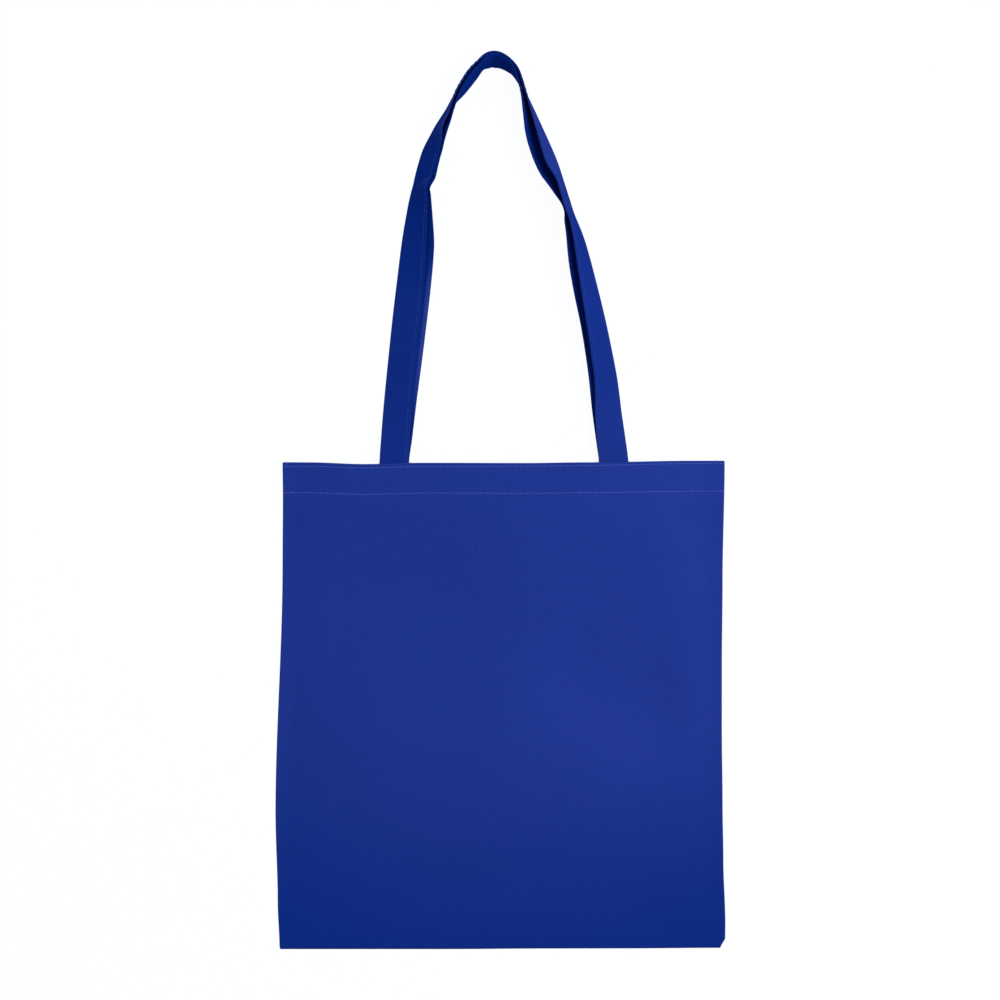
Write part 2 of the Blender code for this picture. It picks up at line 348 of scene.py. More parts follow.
@dataclass(frozen=True)
class EmbossedCloth:
    """Spun-bonded polypropylene cloth: matt fibres with painted sheen, welded together in points on a centred
    lattice.
    """

    name: str
    fibres: Colour  # between the points, with a painted sheen: their red stands in for the glints of the fibres
    points: Colour  # at the points, where the fibres are melted together and look darker, without the fibres' painted sheen
    across: float = 1.99 * MILLIMETRE  # the lattice's cell, with a point at each corner and in its middle
    along: float = 2.13 * MILLIMETRE
    depth: float = 0.16 * MILLIMETRE
    point_rim: tuple[float, float] = (-0.26, 0.14)  # the waves' product outside a point's rim and inside it
    drift: float = 0.06 * MILLIMETRE  # how far the points stray from the lattice
    drift_scale: float = 160.0  # of the noise that makes them stray, per metre
    roughness: float = 0.60
    point_roughness: float = 0.42
    specular: float = 0.03
    fibre_noise: tuple[float, float] = (1500.0, 3.0)  # its scale, per metre, and its detail
    fibre_tone: float = 0.16  # how much lighter and darker the fibres make the cloth
    fibre_height: float = 0.35  # as a share of the depth of a point
    cloud_noise: tuple[float, float] = (70.0, 2.0)
    cloud_tone: float = 0.06
    pressed_point: float = 0.5  # how much of a point there is wherever the cloth is pressed
    pressed_and_shade_tone: float = 0.12  # how much darker the cloth is where it is pressed: partly the pressed cloth's own tone, partly painted shade along folds and seams
    painted_shade_tone: Colour = (0.20, 0.64, 0.82)  # its tone where the painted light attribute is 0: painted shade, darker and bluer
    painted_light_tone: Colour = (1.0, 1.0, 1.0)  # and where it is 1: painted light

    def dress(self) -> bpy.types.Material:
        """Makes the material.

        Returns:
            The new material.
        """
        material, tree, output = new_material(self.name)
        place = tree.out("ShaderNodeUVMap", {}, {"uv_map": CLOTH_UV})
        pressed = tree.number(tree.attribute(PRESSED, "Fac"))
        point = self._points(tree, place) * (1.0 - pressed) + pressed * self.pressed_point
        fibre = self._noise(tree, place, *self.fibre_noise) - 0.5
        cloud = self._noise(tree, place, *self.cloud_noise) - 0.5
        # Painted light and shade: the attribute mixes the painted shade tone with the painted light tone
        painted_lighting = tree.mix(tree.attribute(PAINTED_LIGHT, "Fac"), self.painted_shade_tone, self.painted_light_tone)
        colour = tree.mix(1.0, tree.mix(point, self.fibres, self.points), painted_lighting, "MULTIPLY")
        # Random lighter and darker fibres and clouds, and darker where pressed, which is partly painted shade
        # along folds and seams
        tone = 1.0 + fibre * self.fibre_tone + cloud * self.cloud_tone - pressed * self.pressed_and_shade_tone
        grey = tree.out("ShaderNodeCombineColor", {0: tone, 1: tone, 2: tone})
        height = fibre * self.fibre_height - point
        values = {
            "Base Color": tree.mix(1.0, colour, grey, "MULTIPLY"),
            "Roughness": self.roughness - point * (self.roughness - self.point_roughness),
            "Normal": tree.out("ShaderNodeBump", {"Distance": self.depth, "Height": height}),
            "Specular IOR Level": self.specular,
        }
        tree.feed(output.inputs["Surface"], tree.out("ShaderNodeBsdfPrincipled", values))
        return material

    def _points(self, tree: Tree, place: bpy.types.NodeSocket) -> Number:
        """How much of a bond point there is at each place on the cloth.

        Args:
            tree: The material's tree.
            place: The place on the flat cloth.

        Returns:
            The share, from 0 to 1.
        """
        values = {"Vector": place, "Scale": self.drift_scale, "Detail": 0.0}
        stray = tree.add("ShaderNodeTexNoise", values).outputs[1]
        values = {0: stray, 1: (0.5, 0.5, 0.5)}
        stray = tree.out("ShaderNodeVectorMath", values, {"operation": "SUBTRACT"})
        values = {0: stray, 1: (self.drift, self.drift, 0.0), 2: place}
        place = tree.out("ShaderNodeVectorMath", values, {"operation": "MULTIPLY_ADD"})
        axes = tree.add("ShaderNodeSeparateXYZ", {0: place}).outputs
        across = tree.number(axes[0]) * (math.tau / self.across)
        along = tree.number(axes[1]) * (math.tau / self.along)
        return (across.cosine() * along.cosine()).rise(*self.point_rim)

    @staticmethod
    def _noise(tree: Tree, place: bpy.types.NodeSocket, scale: float, detail: float) -> Number:
        """A noise over the flat cloth.

        Args:
            tree: The material's tree.
            place: The place on the flat cloth.
            scale: Its scale, per metre.
            detail: Its detail.

        Returns:
            The noise, from 0 to 1.
        """
        values = {"Vector": place, "Scale": scale, "Detail": detail}
        return tree.number(tree.out("ShaderNodeTexNoise", values))


@dataclass(frozen=True)
class SewingThread:
    """Spun polyester thread, with the twist of its yarn."""

    name: str
    # The grooves' darker colour is painted shade in the hollows of the twist
    ridges: Colour
    shaded_grooves: Colour
    roughness: float = 0.5
    specular: float = 0.3
    turn: float = 0.9 * MILLIMETRE  # the length of one turn of the yarn
    depth: float = 0.06 * MILLIMETRE
    rim: float = 0.9  # the wave's height at the top of a ridge, and below 0 at the bottom of a groove

    def dress(self) -> bpy.types.Material:
        """Makes the material.

        Returns:
            The new material.
        """
        material, tree, output = new_material(self.name)
        axes = tree.add("ShaderNodeSeparateXYZ", {0: tree.attribute(TWIST, "Vector")})
        run, side, top = (tree.number(axis) for axis in axes.outputs)
        angle = run * (math.tau / self.turn)
        # The sum of two products is one cosine that winds round the thread
        wave = angle.cosine() * side + (angle - math.pi / 2.0).cosine() * top
        ply = wave.rise(-self.rim, self.rim)
        values = {
            "Base Color": tree.mix(ply, self.shaded_grooves, self.ridges),
            "Roughness": self.roughness,
            "Normal": tree.out("ShaderNodeBump", {"Distance": self.depth, "Height": ply}),
            "Specular IOR Level": self.specular,
        }
        tree.feed(output.inputs["Surface"], tree.out("ShaderNodeBsdfPrincipled", values))
        return material


@dataclass(frozen=True)
class WhiteFloor:
    """A white table top. The camera sees it white with the bag's shadow, and dark in the cloth's slits."""

    name: str = "white_floor"
    colour: Colour = (0.90, 0.90, 0.90)
    glow: float = 0.965  # what the camera sees of the open floor whatever light falls on it
    seen: Colour = (0.035, 0.042, 0.080)  # what it sees of the light on the floor, tinted blue: a painted bounce of the blue cloth in the bag's shadow
    reach: float = 0.03  # how near the cloth has to be to cover the floor
    uncovered: tuple[float, float] = (0.17, 0.32)  # how much sky is open where the glow sets in, and is whole
    samples: int = 32  # of the open sky

    def dress(self) -> bpy.types.Material:
        """Makes the material.

        Returns:
            The new material.
        """
        material, tree, output = new_material(self.name)
        sky = tree.add("ShaderNodeAmbientOcclusion", {"Distance": self.reach}, {"samples": self.samples})
        bare = tree.number(sky.outputs["AO"]).rise(*self.uncovered)
        glow = tree.out("ShaderNodeEmission", {"Strength": self.glow})
        lit = tree.out("ShaderNodeBsdfDiffuse", {"Color": _rgba(self.seen)})
        open_floor = tree.out("ShaderNodeAddShader", {0: glow, 1: lit})
        seen = tree.out("ShaderNodeMixShader", {0: bare, 1: lit, 2: open_floor})
        plain = tree.out("ShaderNodeBsdfDiffuse", {"Color": _rgba(self.colour)})
        mixed = tree.out("ShaderNodeMixShader", {0: seen_straight(tree), 1: plain, 2: seen})
        tree.feed(output.inputs["Surface"], mixed)
        return material


def seen_straight(tree: Tree) -> Number:
    """Tells the rays that show the backdrop from those that light the bag.

    Args:
        tree: The tree of the backdrop's material.

    Returns:
        1 for a ray from the camera, by way of a reflection or through glass, and 0 for the rest.
    """
    rays = tree.add("ShaderNodeLightPath").outputs
    direct = tree.number(rays["Is Camera Ray"]).larger(rays["Is Glossy Ray"])
    return direct.larger(rays["Is Transmission Ray"])


# Cloth and stitches


@dataclass
class Cloth:
    """The cloth that a piece is cut from, and how closely its folded layers lie."""

    thickness: float = 0.45 * MILLIMETRE
    air: float = 0.12 * MILLIMETRE  # between two layers that are pressed together

    @property
    def pitch(self) -> float:
        """From one pressed layer to the next."""
        return self.thickness + self.air

    def pile(self, layers: float) -> float:
        """The thickness of some layers that lie on each other."""
        return layers * self.thickness + (layers - 1.0) * self.air

    def sheet(
        self,
        name: str,
        points: np.ndarray,
        pressed: np.ndarray,
        painted_light: np.ndarray,
        material: bpy.types.Material,
    ) -> bpy.types.Object:
        """One sheet of cloth from the places of its grid's crossings, in the middle of its thickness.

        Args:
            name: The object's name.
            points: The places, as rows by columns by 3.
            pressed: How hard each crossing is pressed, as rows by columns.
            painted_light: How much painted light it gets, low for painted shade, in the same way.
            material: The cloth's material.

        Returns:
            The sheet with its UV map in metres, thickened by a Solidify modifier.
        """
        rows, columns = points.shape[:2]
        index = np.arange(rows * columns).reshape(rows, columns)
        faces = np.stack([index[:-1, :-1], index[:-1, 1:], index[1:, 1:], index[1:, :-1]], axis=-1)
        mesh = bpy.data.meshes.new(name)
        mesh.from_pydata(points.reshape(-1, 3).tolist(), [], faces.reshape(-1, 4).tolist())
        flat = self._flat(points).reshape(-1, 2)
        corners = np.zeros(len(mesh.loops), np.int32)
        mesh.loops.foreach_get("vertex_index", corners)
        uv_map = mesh.uv_layers.new(name=CLOTH_UV)
        uv_map.data.foreach_set("uv", flat[corners].ravel())
        for label, values in ((PRESSED, pressed), (PAINTED_LIGHT, painted_light)):
            mark = mesh.attributes.new(label, "FLOAT", "POINT")
            mark.data.foreach_set("value", values.ravel())
        mesh.shade_smooth()
        mesh.materials.append(material)
        sheet = new_object(name, mesh)
        wall = sheet.modifiers.new("cloth", "SOLIDIFY")
        wall.thickness = self.thickness
        wall.offset = 0.0
        wall.use_even_offset = True
        return sheet

    @staticmethod
    def _flat(points: np.ndarray) -> np.ndarray:
        """Where the crossings of a folded grid are on the flat cloth.

        Args:
            points: Their places on the folded one, as rows by columns by 3.

        Returns:
            The places in metres, as rows by columns by 2.
        """
        rows, columns = points.shape[:2]

        def run(line: np.ndarray) -> np.ndarray:
            """How far along a grid line each of its points is."""
            return np.concatenate([[0.0], np.cumsum(np.linalg.norm(np.diff(line, axis=0), axis=1))])

        # The row a quarter of the way along and the middle column stand for all the others
        across, along = np.meshgrid(run(points[rows // 4]), run(points[:, columns // 2]))
        return np.stack([across, along], axis=-1)


@dataclass
class StitchLine:
    """A path that a seam follows on a surface, with the direction that the surface faces."""

    places: list[Vector]
    outwards: list[Vector]


@dataclass
class Lockstitch:
    """A run of lockstitches, made by one geometry tree: a short bowed piece of thread for each stitch."""

    pitch: float = 4.95 * MILLIMETRE
    length: float = 4.5 * MILLIMETRE
    width: float = 0.46 * MILLIMETRE
    rise: float = 0.20 * MILLIMETRE  # of the middle of the thread over the cloth
    sink: float = 0.20 * MILLIMETRE  # of its ends into the cloth
    sway: float = 0.035  # of its direction, in radians
    seed: int = 11
    shortest: float = 0.9  # of one stitch against the length above
    longest: float = 1.03
    bow_steps: int = 7  # of the thread's mesh along a stitch
    ring_steps: int = 6  # and round it
    _tree: bpy.types.GeometryNodeTree | None = field(default=None, init=False)

    # The tree's inputs, each with the field of the same name
    INPUTS = ("Pitch", "Length", "Width", "Rise", "Sink", "Sway", "Seed", "Shortest", "Longest")

    def sew(self, name: str, lines: Sequence[StitchLine], material: bpy.types.Material) -> bpy.types.Object:
        """Sews along some lines.

        Args:
            name: The name of the new object.
            lines: The lines to follow.
            material: The thread's material.

        Returns:
            The stitches as one plain mesh.
        """
        self._tree = self._tree or self._build_tree()
        path = self._path(name, lines)
        modifier = path.modifiers.new("lockstitch", "NODES")
        modifier.node_group = self._tree
        items = self._tree.interface.items_tree
        sockets = {item.name: item.identifier for item in items if item.in_out == "INPUT"}
        for label in self.INPUTS:
            modifier[sockets[label]] = getattr(self, label.lower())
        modifier[sockets["Thread"]] = material
        evaluated = path.evaluated_get(bpy.context.evaluated_depsgraph_get())
        mesh = bpy.data.meshes.new_from_object(evaluated)
        bpy.data.objects.remove(path)
        mesh.name = name
        return new_object(name, mesh)

    @staticmethod
    def _path(name: str, lines: Sequence[StitchLine]) -> bpy.types.Object:
        """Makes the lines edges of one mesh, with the way that each point faces.

        Args:
            name: The name of the stitches.
            lines: The lines.

        Returns:
            The object with the edges.
        """
        places = [place for line in lines for place in line.places]
        outwards = [way for line in lines for way in line.outwards]
        edges, start = [], 0
        for line in lines:
            edges += [(start + step, start + step + 1) for step in range(len(line.places) - 1)]
            start += len(line.places)
        mesh = bpy.data.meshes.new(f"{name}_path")
        mesh.from_pydata(places, edges, [])
        facing = mesh.attributes.new(OUTWARDS, "FLOAT_VECTOR", "POINT")
        facing.data.foreach_set("vector", np.array(outwards, float).ravel())
        return new_object(f"{name}_path", mesh)

    def _build_tree(self) -> bpy.types.GeometryNodeTree:
        """Builds the geometry tree, from lines to stitches.

        Returns:
            The tree.
        """
        group = bpy.data.node_groups.new("lockstitch", "GeometryNodeTree")
        group.is_modifier = True
        group.interface.new_socket("Lines", in_out="INPUT", socket_type="NodeSocketGeometry")
        for label in self.INPUTS:
            kind = "NodeSocketInt" if label == "Seed" else "NodeSocketFloat"
            group.interface.new_socket(label, in_out="INPUT", socket_type=kind)
        group.interface.new_socket("Thread", in_out="INPUT", socket_type="NodeSocketMaterial")
        group.interface.new_socket("Stitches", in_out="OUTPUT", socket_type="NodeSocketGeometry")
        tree = Tree(group)
        given = tree.add("NodeGroupInput").outputs
        curve = tree.out("GeometryNodeMeshToCurve", {"Mesh": given["Lines"]})
        values = {"Curve": curve, "Length": given["Pitch"]}
        spots = tree.add("GeometryNodeCurveToPoints", values, {"mode": "LENGTH"}).outputs
        values = {
            "Points": spots["Points"],
            "Instance": self._stitch(tree, given),
            "Rotation": self._lie(tree, given, spots["Tangent"]),
            "Scale": self._stretch(tree, given),
        }
        placed = tree.out("GeometryNodeInstanceOnPoints", values)
        real = tree.out("GeometryNodeRealizeInstances", {0: placed})
        dressed = tree.out("GeometryNodeSetMaterial", {"Geometry": real, "Material": given["Thread"]})
        tree.add("NodeGroupOutput", {0: dressed})
        return group

    def _stitch(self, tree: Tree, given: Any) -> bpy.types.NodeSocket:
        """One stitch along X: thread that rises out of the cloth, bows over it and goes in again.

        Args:
            tree: The geometry tree.
            given: The outputs of its input node.

        Returns:
            The stitch's mesh.
        """
        half = tree.number(given["Length"]) * 0.5
        sunk = tree.number(given["Sink"]) * -1.0
        values = {
            "Resolution": self.bow_steps,
            "Start": tree.vector(x=half * -1.0, z=sunk),
            "Middle": tree.vector(z=tree.number(given["Rise"]) * 2.0 + given["Sink"]),
            "End": tree.vector(x=half, z=sunk),
        }
        bow = tree.out("GeometryNodeCurveQuadraticBezier", values)
        values = {"Resolution": self.ring_steps, "Radius": tree.number(given["Width"]) * 0.5}
        ring = tree.out("GeometryNodeCurvePrimitiveCircle", values, {"mode": "RADIUS"})
        values = {"Curve": bow, "Profile Curve": ring, "Fill Caps": True}
        mesh = tree.out("GeometryNodeCurveToMesh", values)
        place = tree.add("ShaderNodeSeparateXYZ", {0: tree.out("GeometryNodeInputPosition", {})}).outputs
        facing = tree.add("ShaderNodeSeparateXYZ", {0: tree.out("GeometryNodeInputNormal", {})}).outputs
        values = {"Geometry": mesh, "Name": TWIST, "Value": tree.vector(place[0], facing[1], facing[2])}
        settings = {"data_type": "FLOAT_VECTOR", "domain": "POINT"}
        marked = tree.out("GeometryNodeStoreNamedAttribute", values, settings)
        return tree.out("GeometryNodeSetShadeSmooth", {0: marked})

    @staticmethod
    def _lie(tree: Tree, given: Any, tangent: bpy.types.NodeSocket) -> bpy.types.NodeSocket:
        """The turn of a stitch: along the line, out of the surface, and a little to one side.

        Args:
            tree: The geometry tree.
            given: The outputs of its input node.
            tangent: The way that the line runs.

        Returns:
            The rotation.
        """
        along = tree.out("FunctionNodeAlignRotationToVector", {"Vector": tangent}, {"axis": "X"})
        settings = {"data_type": "FLOAT_VECTOR"}
        facing = tree.out("GeometryNodeInputNamedAttribute", {"Name": OUTWARDS}, settings)
        settings = {"axis": "Z", "pivot_axis": "X"}
        lying = tree.out("FunctionNodeAlignRotationToVector", {"Rotation": along, "Vector": facing}, settings)
        # Inputs 2 and 3 of a random number are its lowest and highest value, and output 1 is the number
        values = {2: tree.number(given["Sway"]) * -1.0, 3: given["Sway"], "Seed": given["Seed"]}
        sway = tree.add("FunctionNodeRandomValue", values, {"data_type": "FLOAT"}).outputs[1]
        turn = tree.out("FunctionNodeEulerToRotation", {0: tree.vector(z=sway)})
        values = {"Rotation": lying, "Rotate By": turn}
        return tree.out("FunctionNodeRotateRotation", values, {"rotation_space": "LOCAL"})

    @staticmethod
    def _stretch(tree: Tree, given: Any) -> bpy.types.NodeSocket:
        """The size of a stitch: a little shorter or longer than the next.

        Args:
            tree: The geometry tree.
            given: The outputs of its input node.

        Returns:
            The scale, on three axes.
        """
        values = {2: given["Shortest"], 3: given["Longest"], "Seed": tree.number(given["Seed"]) + 1.0}
        length = tree.add("FunctionNodeRandomValue", values, {"data_type": "FLOAT"}).outputs[1]
        return tree.vector(length, 1.0, 1.0)


@dataclass(frozen=True)
class SeamMark:
    """What a line of stitches does to the cloth: it draws a groove into it and presses it flat."""

    depth: float  # of the groove
    width: float
    pressed_width: float
    pressed_share: float  # of what a sharp fold presses the cloth

    def groove(self, distance: float) -> float:
        """How deep the groove is at that distance from the line."""
        return self.depth * bell(distance, self.width)

    def pressing(self, distance: float) -> float:
        """How hard the cloth is pressed at that distance from the line."""
        return self.pressed_share * bell(distance, self.pressed_width)


# The body


@dataclass(frozen=True)
class SoftFold:
    """A soft swell or dip of the front."""

    x: float  # of its middle
    y: float
    long: float  # how far it reaches along itself
    wide: float  # and across
    turn: float  # in degrees from the X axis
    height: float

    def at(self, x: float, y: float) -> float:
        """How high the front is lifted at a place.

        Args:
            x: The place across the bag.
            y: And along it.

        Returns:
            The lift where the front is free.
        """
        cosine, sine = math.cos(math.radians(self.turn)), math.sin(math.radians(self.turn))
        along = ((x - self.x) * cosine + (y - self.y) * sine) / self.long
        across = ((y - self.y) * cosine - (x - self.x) * sine) / self.wide
        return self.height * math.exp(-(along**2) - across**2)


@dataclass
class Body:
    """The bag's body: one sheet, folded at the bottom and turned in at the mouth and at both sides.

    While it is being folded, the middle of the mouth is at X 0, Y 0. Its place in the frame is added last.
    """

    cloth: Cloth
    width: float = 0.3822
    length: float = 0.4202
    hem: float = 0.0275
    allowance: float = 0.009
    cut: tuple[float, float] = (0.398, 0.892)  # the flat size of the sheet
    puff: float = 0.0118  # how far the front stands off the back, past the pressed layers
    lift: float = 0.0003  # the back's threads lie under it
    crease_margin: float = 0.003
    seam_ramp: float = 0.030
    mouth_seam: float = 0.0029  # from the mouth to the upper line of stitches
    hem_seam: float = 0.0262  # and to the lower one
    seam_skew: float = 0.0030  # how fast the upper one comes up towards the mouth across the bag
    seam_margin: float = 0.0030  # from the sides to the ends of both
    seam_step: float = 0.002
    seam_mark: SeamMark = SeamMark(depth=0.00016, width=0.0011, pressed_width=0.0009, pressed_share=0.15)
    lip: tuple[float, float, float] = (0.0013, 0.0009, 0.00020)  # its place below the mouth, width and height
    side_press: float = 0.0017  # how far in from the sides the cloth is pressed
    end_press: float = 0.0016  # and how far from the mouth and the bottom fold
    # The outline: how far the sides bow out, by the share of the way down, and the mouth and the bottom fold
    # run above a straight line, by the place across the bag
    left_bow: Stops = (
        *((0.0, 0.0), (0.07, -0.0003), (0.21, 0.0)),
        *((0.72, 0.0061), (0.90, 0.0042), (1.0, 0.0026)),
    )
    right_bow: Stops = (
        *((0.0, 0.0), (0.25, -0.0018), (0.42, -0.0024), (0.56, -0.0024)),
        *((0.70, -0.0018), (0.82, -0.0011), (0.95, 0.0006), (1.0, 0.0004)),
    )
    mouth_line: Stops = (
        *((-0.188, 0.0007), (-0.168, 0.0006), (-0.120, -0.0009), (-0.070, 0.0002)),
        *((0.020, 0.0), (0.070, 0.0006), (0.165, 0.0020)),
    )
    bottom_line: Stops = ((-0.05, 0.0), (0.04, 0.0005), (0.105, 0.0006), (0.185, 0.0011))
    mouth_corner: float = 0.0012
    left_corner: float = 0.0024
    right_cut: tuple[float, float] = (0.0046, 0.0079)  # across and along, of the straight cut at that corner
    swell: float = 3.0  # the front's profile across the bag, as a power: the higher, the flatter its middle
    bottom_reach: float = 0.45  # the share of the length in which the front comes up from the bottom fold
    bottom_swell: float = 0.85
    free_height: float = 0.0060  # how far off the seams the front has its whole folds
    # The folds' x and y, how long and how wide they are, their turn and their height. The first 8 were chosen
    # one by one. The other 22 come from a program that fitted them to the light and dark of the front in the
    # photograph, and were rounded afterwards.
    soft_folds: tuple[SoftFold, ...] = tuple(
        SoftFold(*sizes)
        for sizes in (
            (0.025, -0.280, 0.115, 0.080, 20.0, 0.0026), (0.045, -0.065, 0.095, 0.050, 60.0, 0.0018),
            (-0.085, -0.170, 0.120, 0.030, 80.0, 0.0010), (-0.135, -0.110, 0.100, 0.020, 95.0, 0.0006),
            (-0.040, -0.250, 0.090, 0.015, 85.0, -0.0005), (0.110, -0.130, 0.100, 0.020, 75.0, 0.0008),
            (0.150, -0.230, 0.080, 0.020, 60.0, -0.0007), (0.010, -0.130, 0.110, 0.015, 90.0, 0.0005),
            (0.085, -0.205, 0.080, 0.035, 125.0, -0.0025), (-0.025, -0.140, 0.100, 0.035, -25.0, -0.0024),
            (0.120, -0.190, 0.100, 0.035, 125.0, -0.0025), (-0.075, -0.170, 0.100, 0.035, 85.0, -0.0025),
            (0.170, -0.130, 0.100, 0.035, 115.0, 0.0025), (0.005, -0.235, 0.100, 0.035, 75.0, 0.0025),
            (-0.095, -0.340, 0.095, 0.035, -20.0, -0.0020), (-0.070, -0.240, 0.100, 0.035, -5.0, 0.0023),
            (-0.130, -0.100, 0.070, 0.035, 85.0, -0.0025), (0.120, -0.415, 0.100, 0.035, 145.0, -0.0025),
            (0.185, -0.305, 0.100, 0.020, 30.0, -0.0025), (-0.105, -0.115, 0.060, 0.035, 35.0, -0.0025),
            (0.175, -0.180, 0.100, 0.030, 90.0, 0.0025), (-0.070, -0.075, 0.045, 0.035, 145.0, -0.0025),
            (0.145, -0.415, 0.080, 0.035, 115.0, -0.0025), (-0.025, -0.365, 0.100, 0.025, 15.0, -0.0025),
            (-0.185, -0.415, 0.100, 0.025, 65.0, -0.0025), (0.115, -0.210, 0.050, 0.035, 35.0, -0.0025),
            (0.180, -0.155, 0.100, 0.020, 100.0, 0.0025), (0.115, -0.060, 0.070, 0.030, 0.0, 0.0018),
            (0.185, -0.390, 0.045, 0.015, 90.0, 0.0025), (-0.095, -0.115, 0.085, 0.035, 30.0, -0.0025),
        )
    )
    skew: float = 0.0029  # how far the middle of the mouth is to the right of the middle of the whole
    painted_light_reach: float = 0.52  # of the length, up from the bottom, over which the painted shade fades into the whole painted light
    painted_light_arch: float = 0.12  # how much nearer to the bottom that fade begins in the middle
    least_painted_light: float = 0.84  # the painted light at the left side, against 1 at the right side: painted shade on the left
    # The mesh: its spacing in the open, then reach and spacing of the closer grid lines along folds and seams
    step: float = 0.0042
    side_grid: tuple[float, float] = (0.003, 0.0006)
    hem_grid: tuple[float, float] = (0.0018, 0.0006)
    seam_grid: tuple[float, float] = (0.0024, 0.0004)
    bottom_grid: tuple[float, float] = (0.003, 0.0005)
    bottom_step: float = 0.0015  # the spacing in the open, near the bottom fold
    bottom_start: float = 1.2  # how far up from there that reaches, as a multiple of the cut's length
    turn_steps: int = 6  # round a fold
    allowance_steps: int = 3
    place: Vector = field(default_factory=lambda: Vector((0.0, 0.0, 0.0)))

    @property
    def flat_width(self) -> float:
        """From one side fold to the other."""
        return self.width - 2.0 * self.cloth.pitch

    def layers_turned_in(self, y: float) -> float:
        """How many layers deep the seam allowance lies: 1 along the seam, and 3 where the hem is in it."""
        return 1.0 + 2.0 * smoothstep((y + self.hem + self.crease_margin + self.seam_ramp) / self.seam_ramp)

    def seam_thickness(self, layers: float) -> float:
        """The thickness of the whole bag at its side seam, with that many layers turned in on each panel."""
        return self.cloth.pile(2.0 * (layers + 1.0))

    def side_edge(self, side: int, y: float) -> float:
        """Where the bag's outline is.

        Args:
            side: -1 for the left side and 1 for the right one.
            y: The place along the bag.

        Returns:
            The outline's x.
        """
        share = min(1.0, max(0.0, -y / self.length))
        edge = self.width / 2.0 + smooth_line(self.left_bow if side < 0 else self.right_bow, share)
        edge -= rounded(-y, self.mouth_corner)
        if side < 0:
            edge -= rounded(y + self.length, self.left_corner)
        else:
            edge -= self.right_cut[0] * max(0.0, 1.0 - (y + self.length) / self.right_cut[1])
        return side * edge

    def lean(self, x: float, y: float) -> float:
        """How far up the bag the cloth lies from its place on a straight one, as its ends aren't straight."""
        share = min(1.0, max(0.0, 1.0 + y / self.length))
        return smooth_line(self.mouth_line, x) * share + smooth_line(self.bottom_line, x) * (1.0 - share)

    def open_share(self, x: float, y: float) -> float:
        """How far the front is off its seams across the bag.

        Args:
            x: The place across the bag.
            y: And along it.

        Returns:
            0 along both seams, and 1 in the middle.
        """
        left, right = self.side_edge(-1, y), self.side_edge(1, y)
        half = (right - left) / 2.0 - self.allowance - self.crease_margin
        return max(0.0, 1.0 - (abs(x - (left + right) / 2.0) / half) ** self.swell)

    def front_top(self, x: float, y: float) -> float:
        """The height of the front panel's outer face.

        Args:
            x: The place across the bag.
            y: And along it.

        Returns:
            The height above the back panel's outer face.
        """
        seam = self.seam_thickness(self.layers_turned_in(y))
        from_bottom = min(1.0, max(0.0, (y + self.length) / self.length / self.bottom_reach))
        rise = math.sin(math.pi / 2.0 * from_bottom) ** self.bottom_swell
        middle = self.seam_thickness(1.0) + self.puff * rise
        height = seam + (middle - seam) * self.open_share(x, y)
        freedom = min(1.0, (height - seam) / self.free_height)
        height += freedom * sum(fold.at(x, y) for fold in self.soft_folds)
        for line in (self.mouth_seam_at(x), self.hem_seam):
            height -= self.seam_mark.groove(y + line)
        lip_place, lip_width, lip_height = self.lip
        return height + lip_height * bell(y + lip_place, lip_width)

    def mouth_seam_at(self, x: float) -> float:
        """From the mouth to the upper line of stitches at that place across the bag."""
        return self.mouth_seam - self.seam_skew * x

    def columns(self) -> list[Column]:
        """The sheet's lengthwise grid lines.

        Returns:
            The side is 0 on the panel, where run is the share of the way from the left fold to the right one.
            On an allowance, run is the distance back from the fold.
        """
        flat = self.flat_width
        reach, fine = self.side_grid
        shares = graded(0.0, 1.0, self.step / flat, (0.0, 1.0), reach / flat, fine / flat)
        steps = self.allowance_steps
        turned_in = [self.allowance * step / steps for step in range(steps, -1, -1)]
        angles = fold_angles(self.turn_steps)
        return [
            *((-1, math.pi, run) for run in turned_in),
            *((-1, angle, 0.0) for angle in reversed(angles)),
            *((0, 0.0, share) for share in shares),
            *((1, angle, 0.0) for angle in angles),
            *((1, math.pi, run) for run in reversed(turned_in)),
        ]

    def rows(self) -> list[Row]:
        """The sheet's crosswise grid lines.

        Returns:
            The depth is 0 on the panel and 1 on the hem turned in behind it.
        """
        radius = self.cloth.pitch / 2.0
        mouth_fold = -self.cloth.thickness / 2.0 - radius
        bottom_fold = -self.length + self.seam_thickness(1.0) / 2.0
        corner = self.bottom_start * self.right_cut[1] - self.length
        angles = fold_angles(self.turn_steps)

        def half(panel: Panel) -> list[Row]:
            """The grid lines of one panel, from the hem turned in behind it to the bottom fold.

            Args:
                panel: The front one or the back one.

            Returns:
                Its grid lines, in that order.
            """
            lines = (-self.mouth_seam, -self.hem_seam)
            hem = graded(-self.hem, mouth_fold, self.step, lines, *self.hem_grid)
            turn = [
                (panel, mouth_fold + radius * math.sin(angle), (1.0 - math.cos(angle)) / 2.0, 0.0)
                for angle in reversed(angles)
            ]
            upper = graded(mouth_fold, corner, self.step, lines, *self.seam_grid)
            lower = graded(corner, bottom_fold, self.bottom_step, (bottom_fold,), *self.bottom_grid)
            rows = [(panel, y, 1.0, 0.0) for y in hem] + turn
            return rows + [(panel, y, 0.0, 0.0) for y in (*upper, *lower[1:])]

        fold = [(Panel.BOTTOM, bottom_fold, 0.0, angle) for angle in angles]
        return half(Panel.FRONT) + fold + half(Panel.BACK)[::-1]

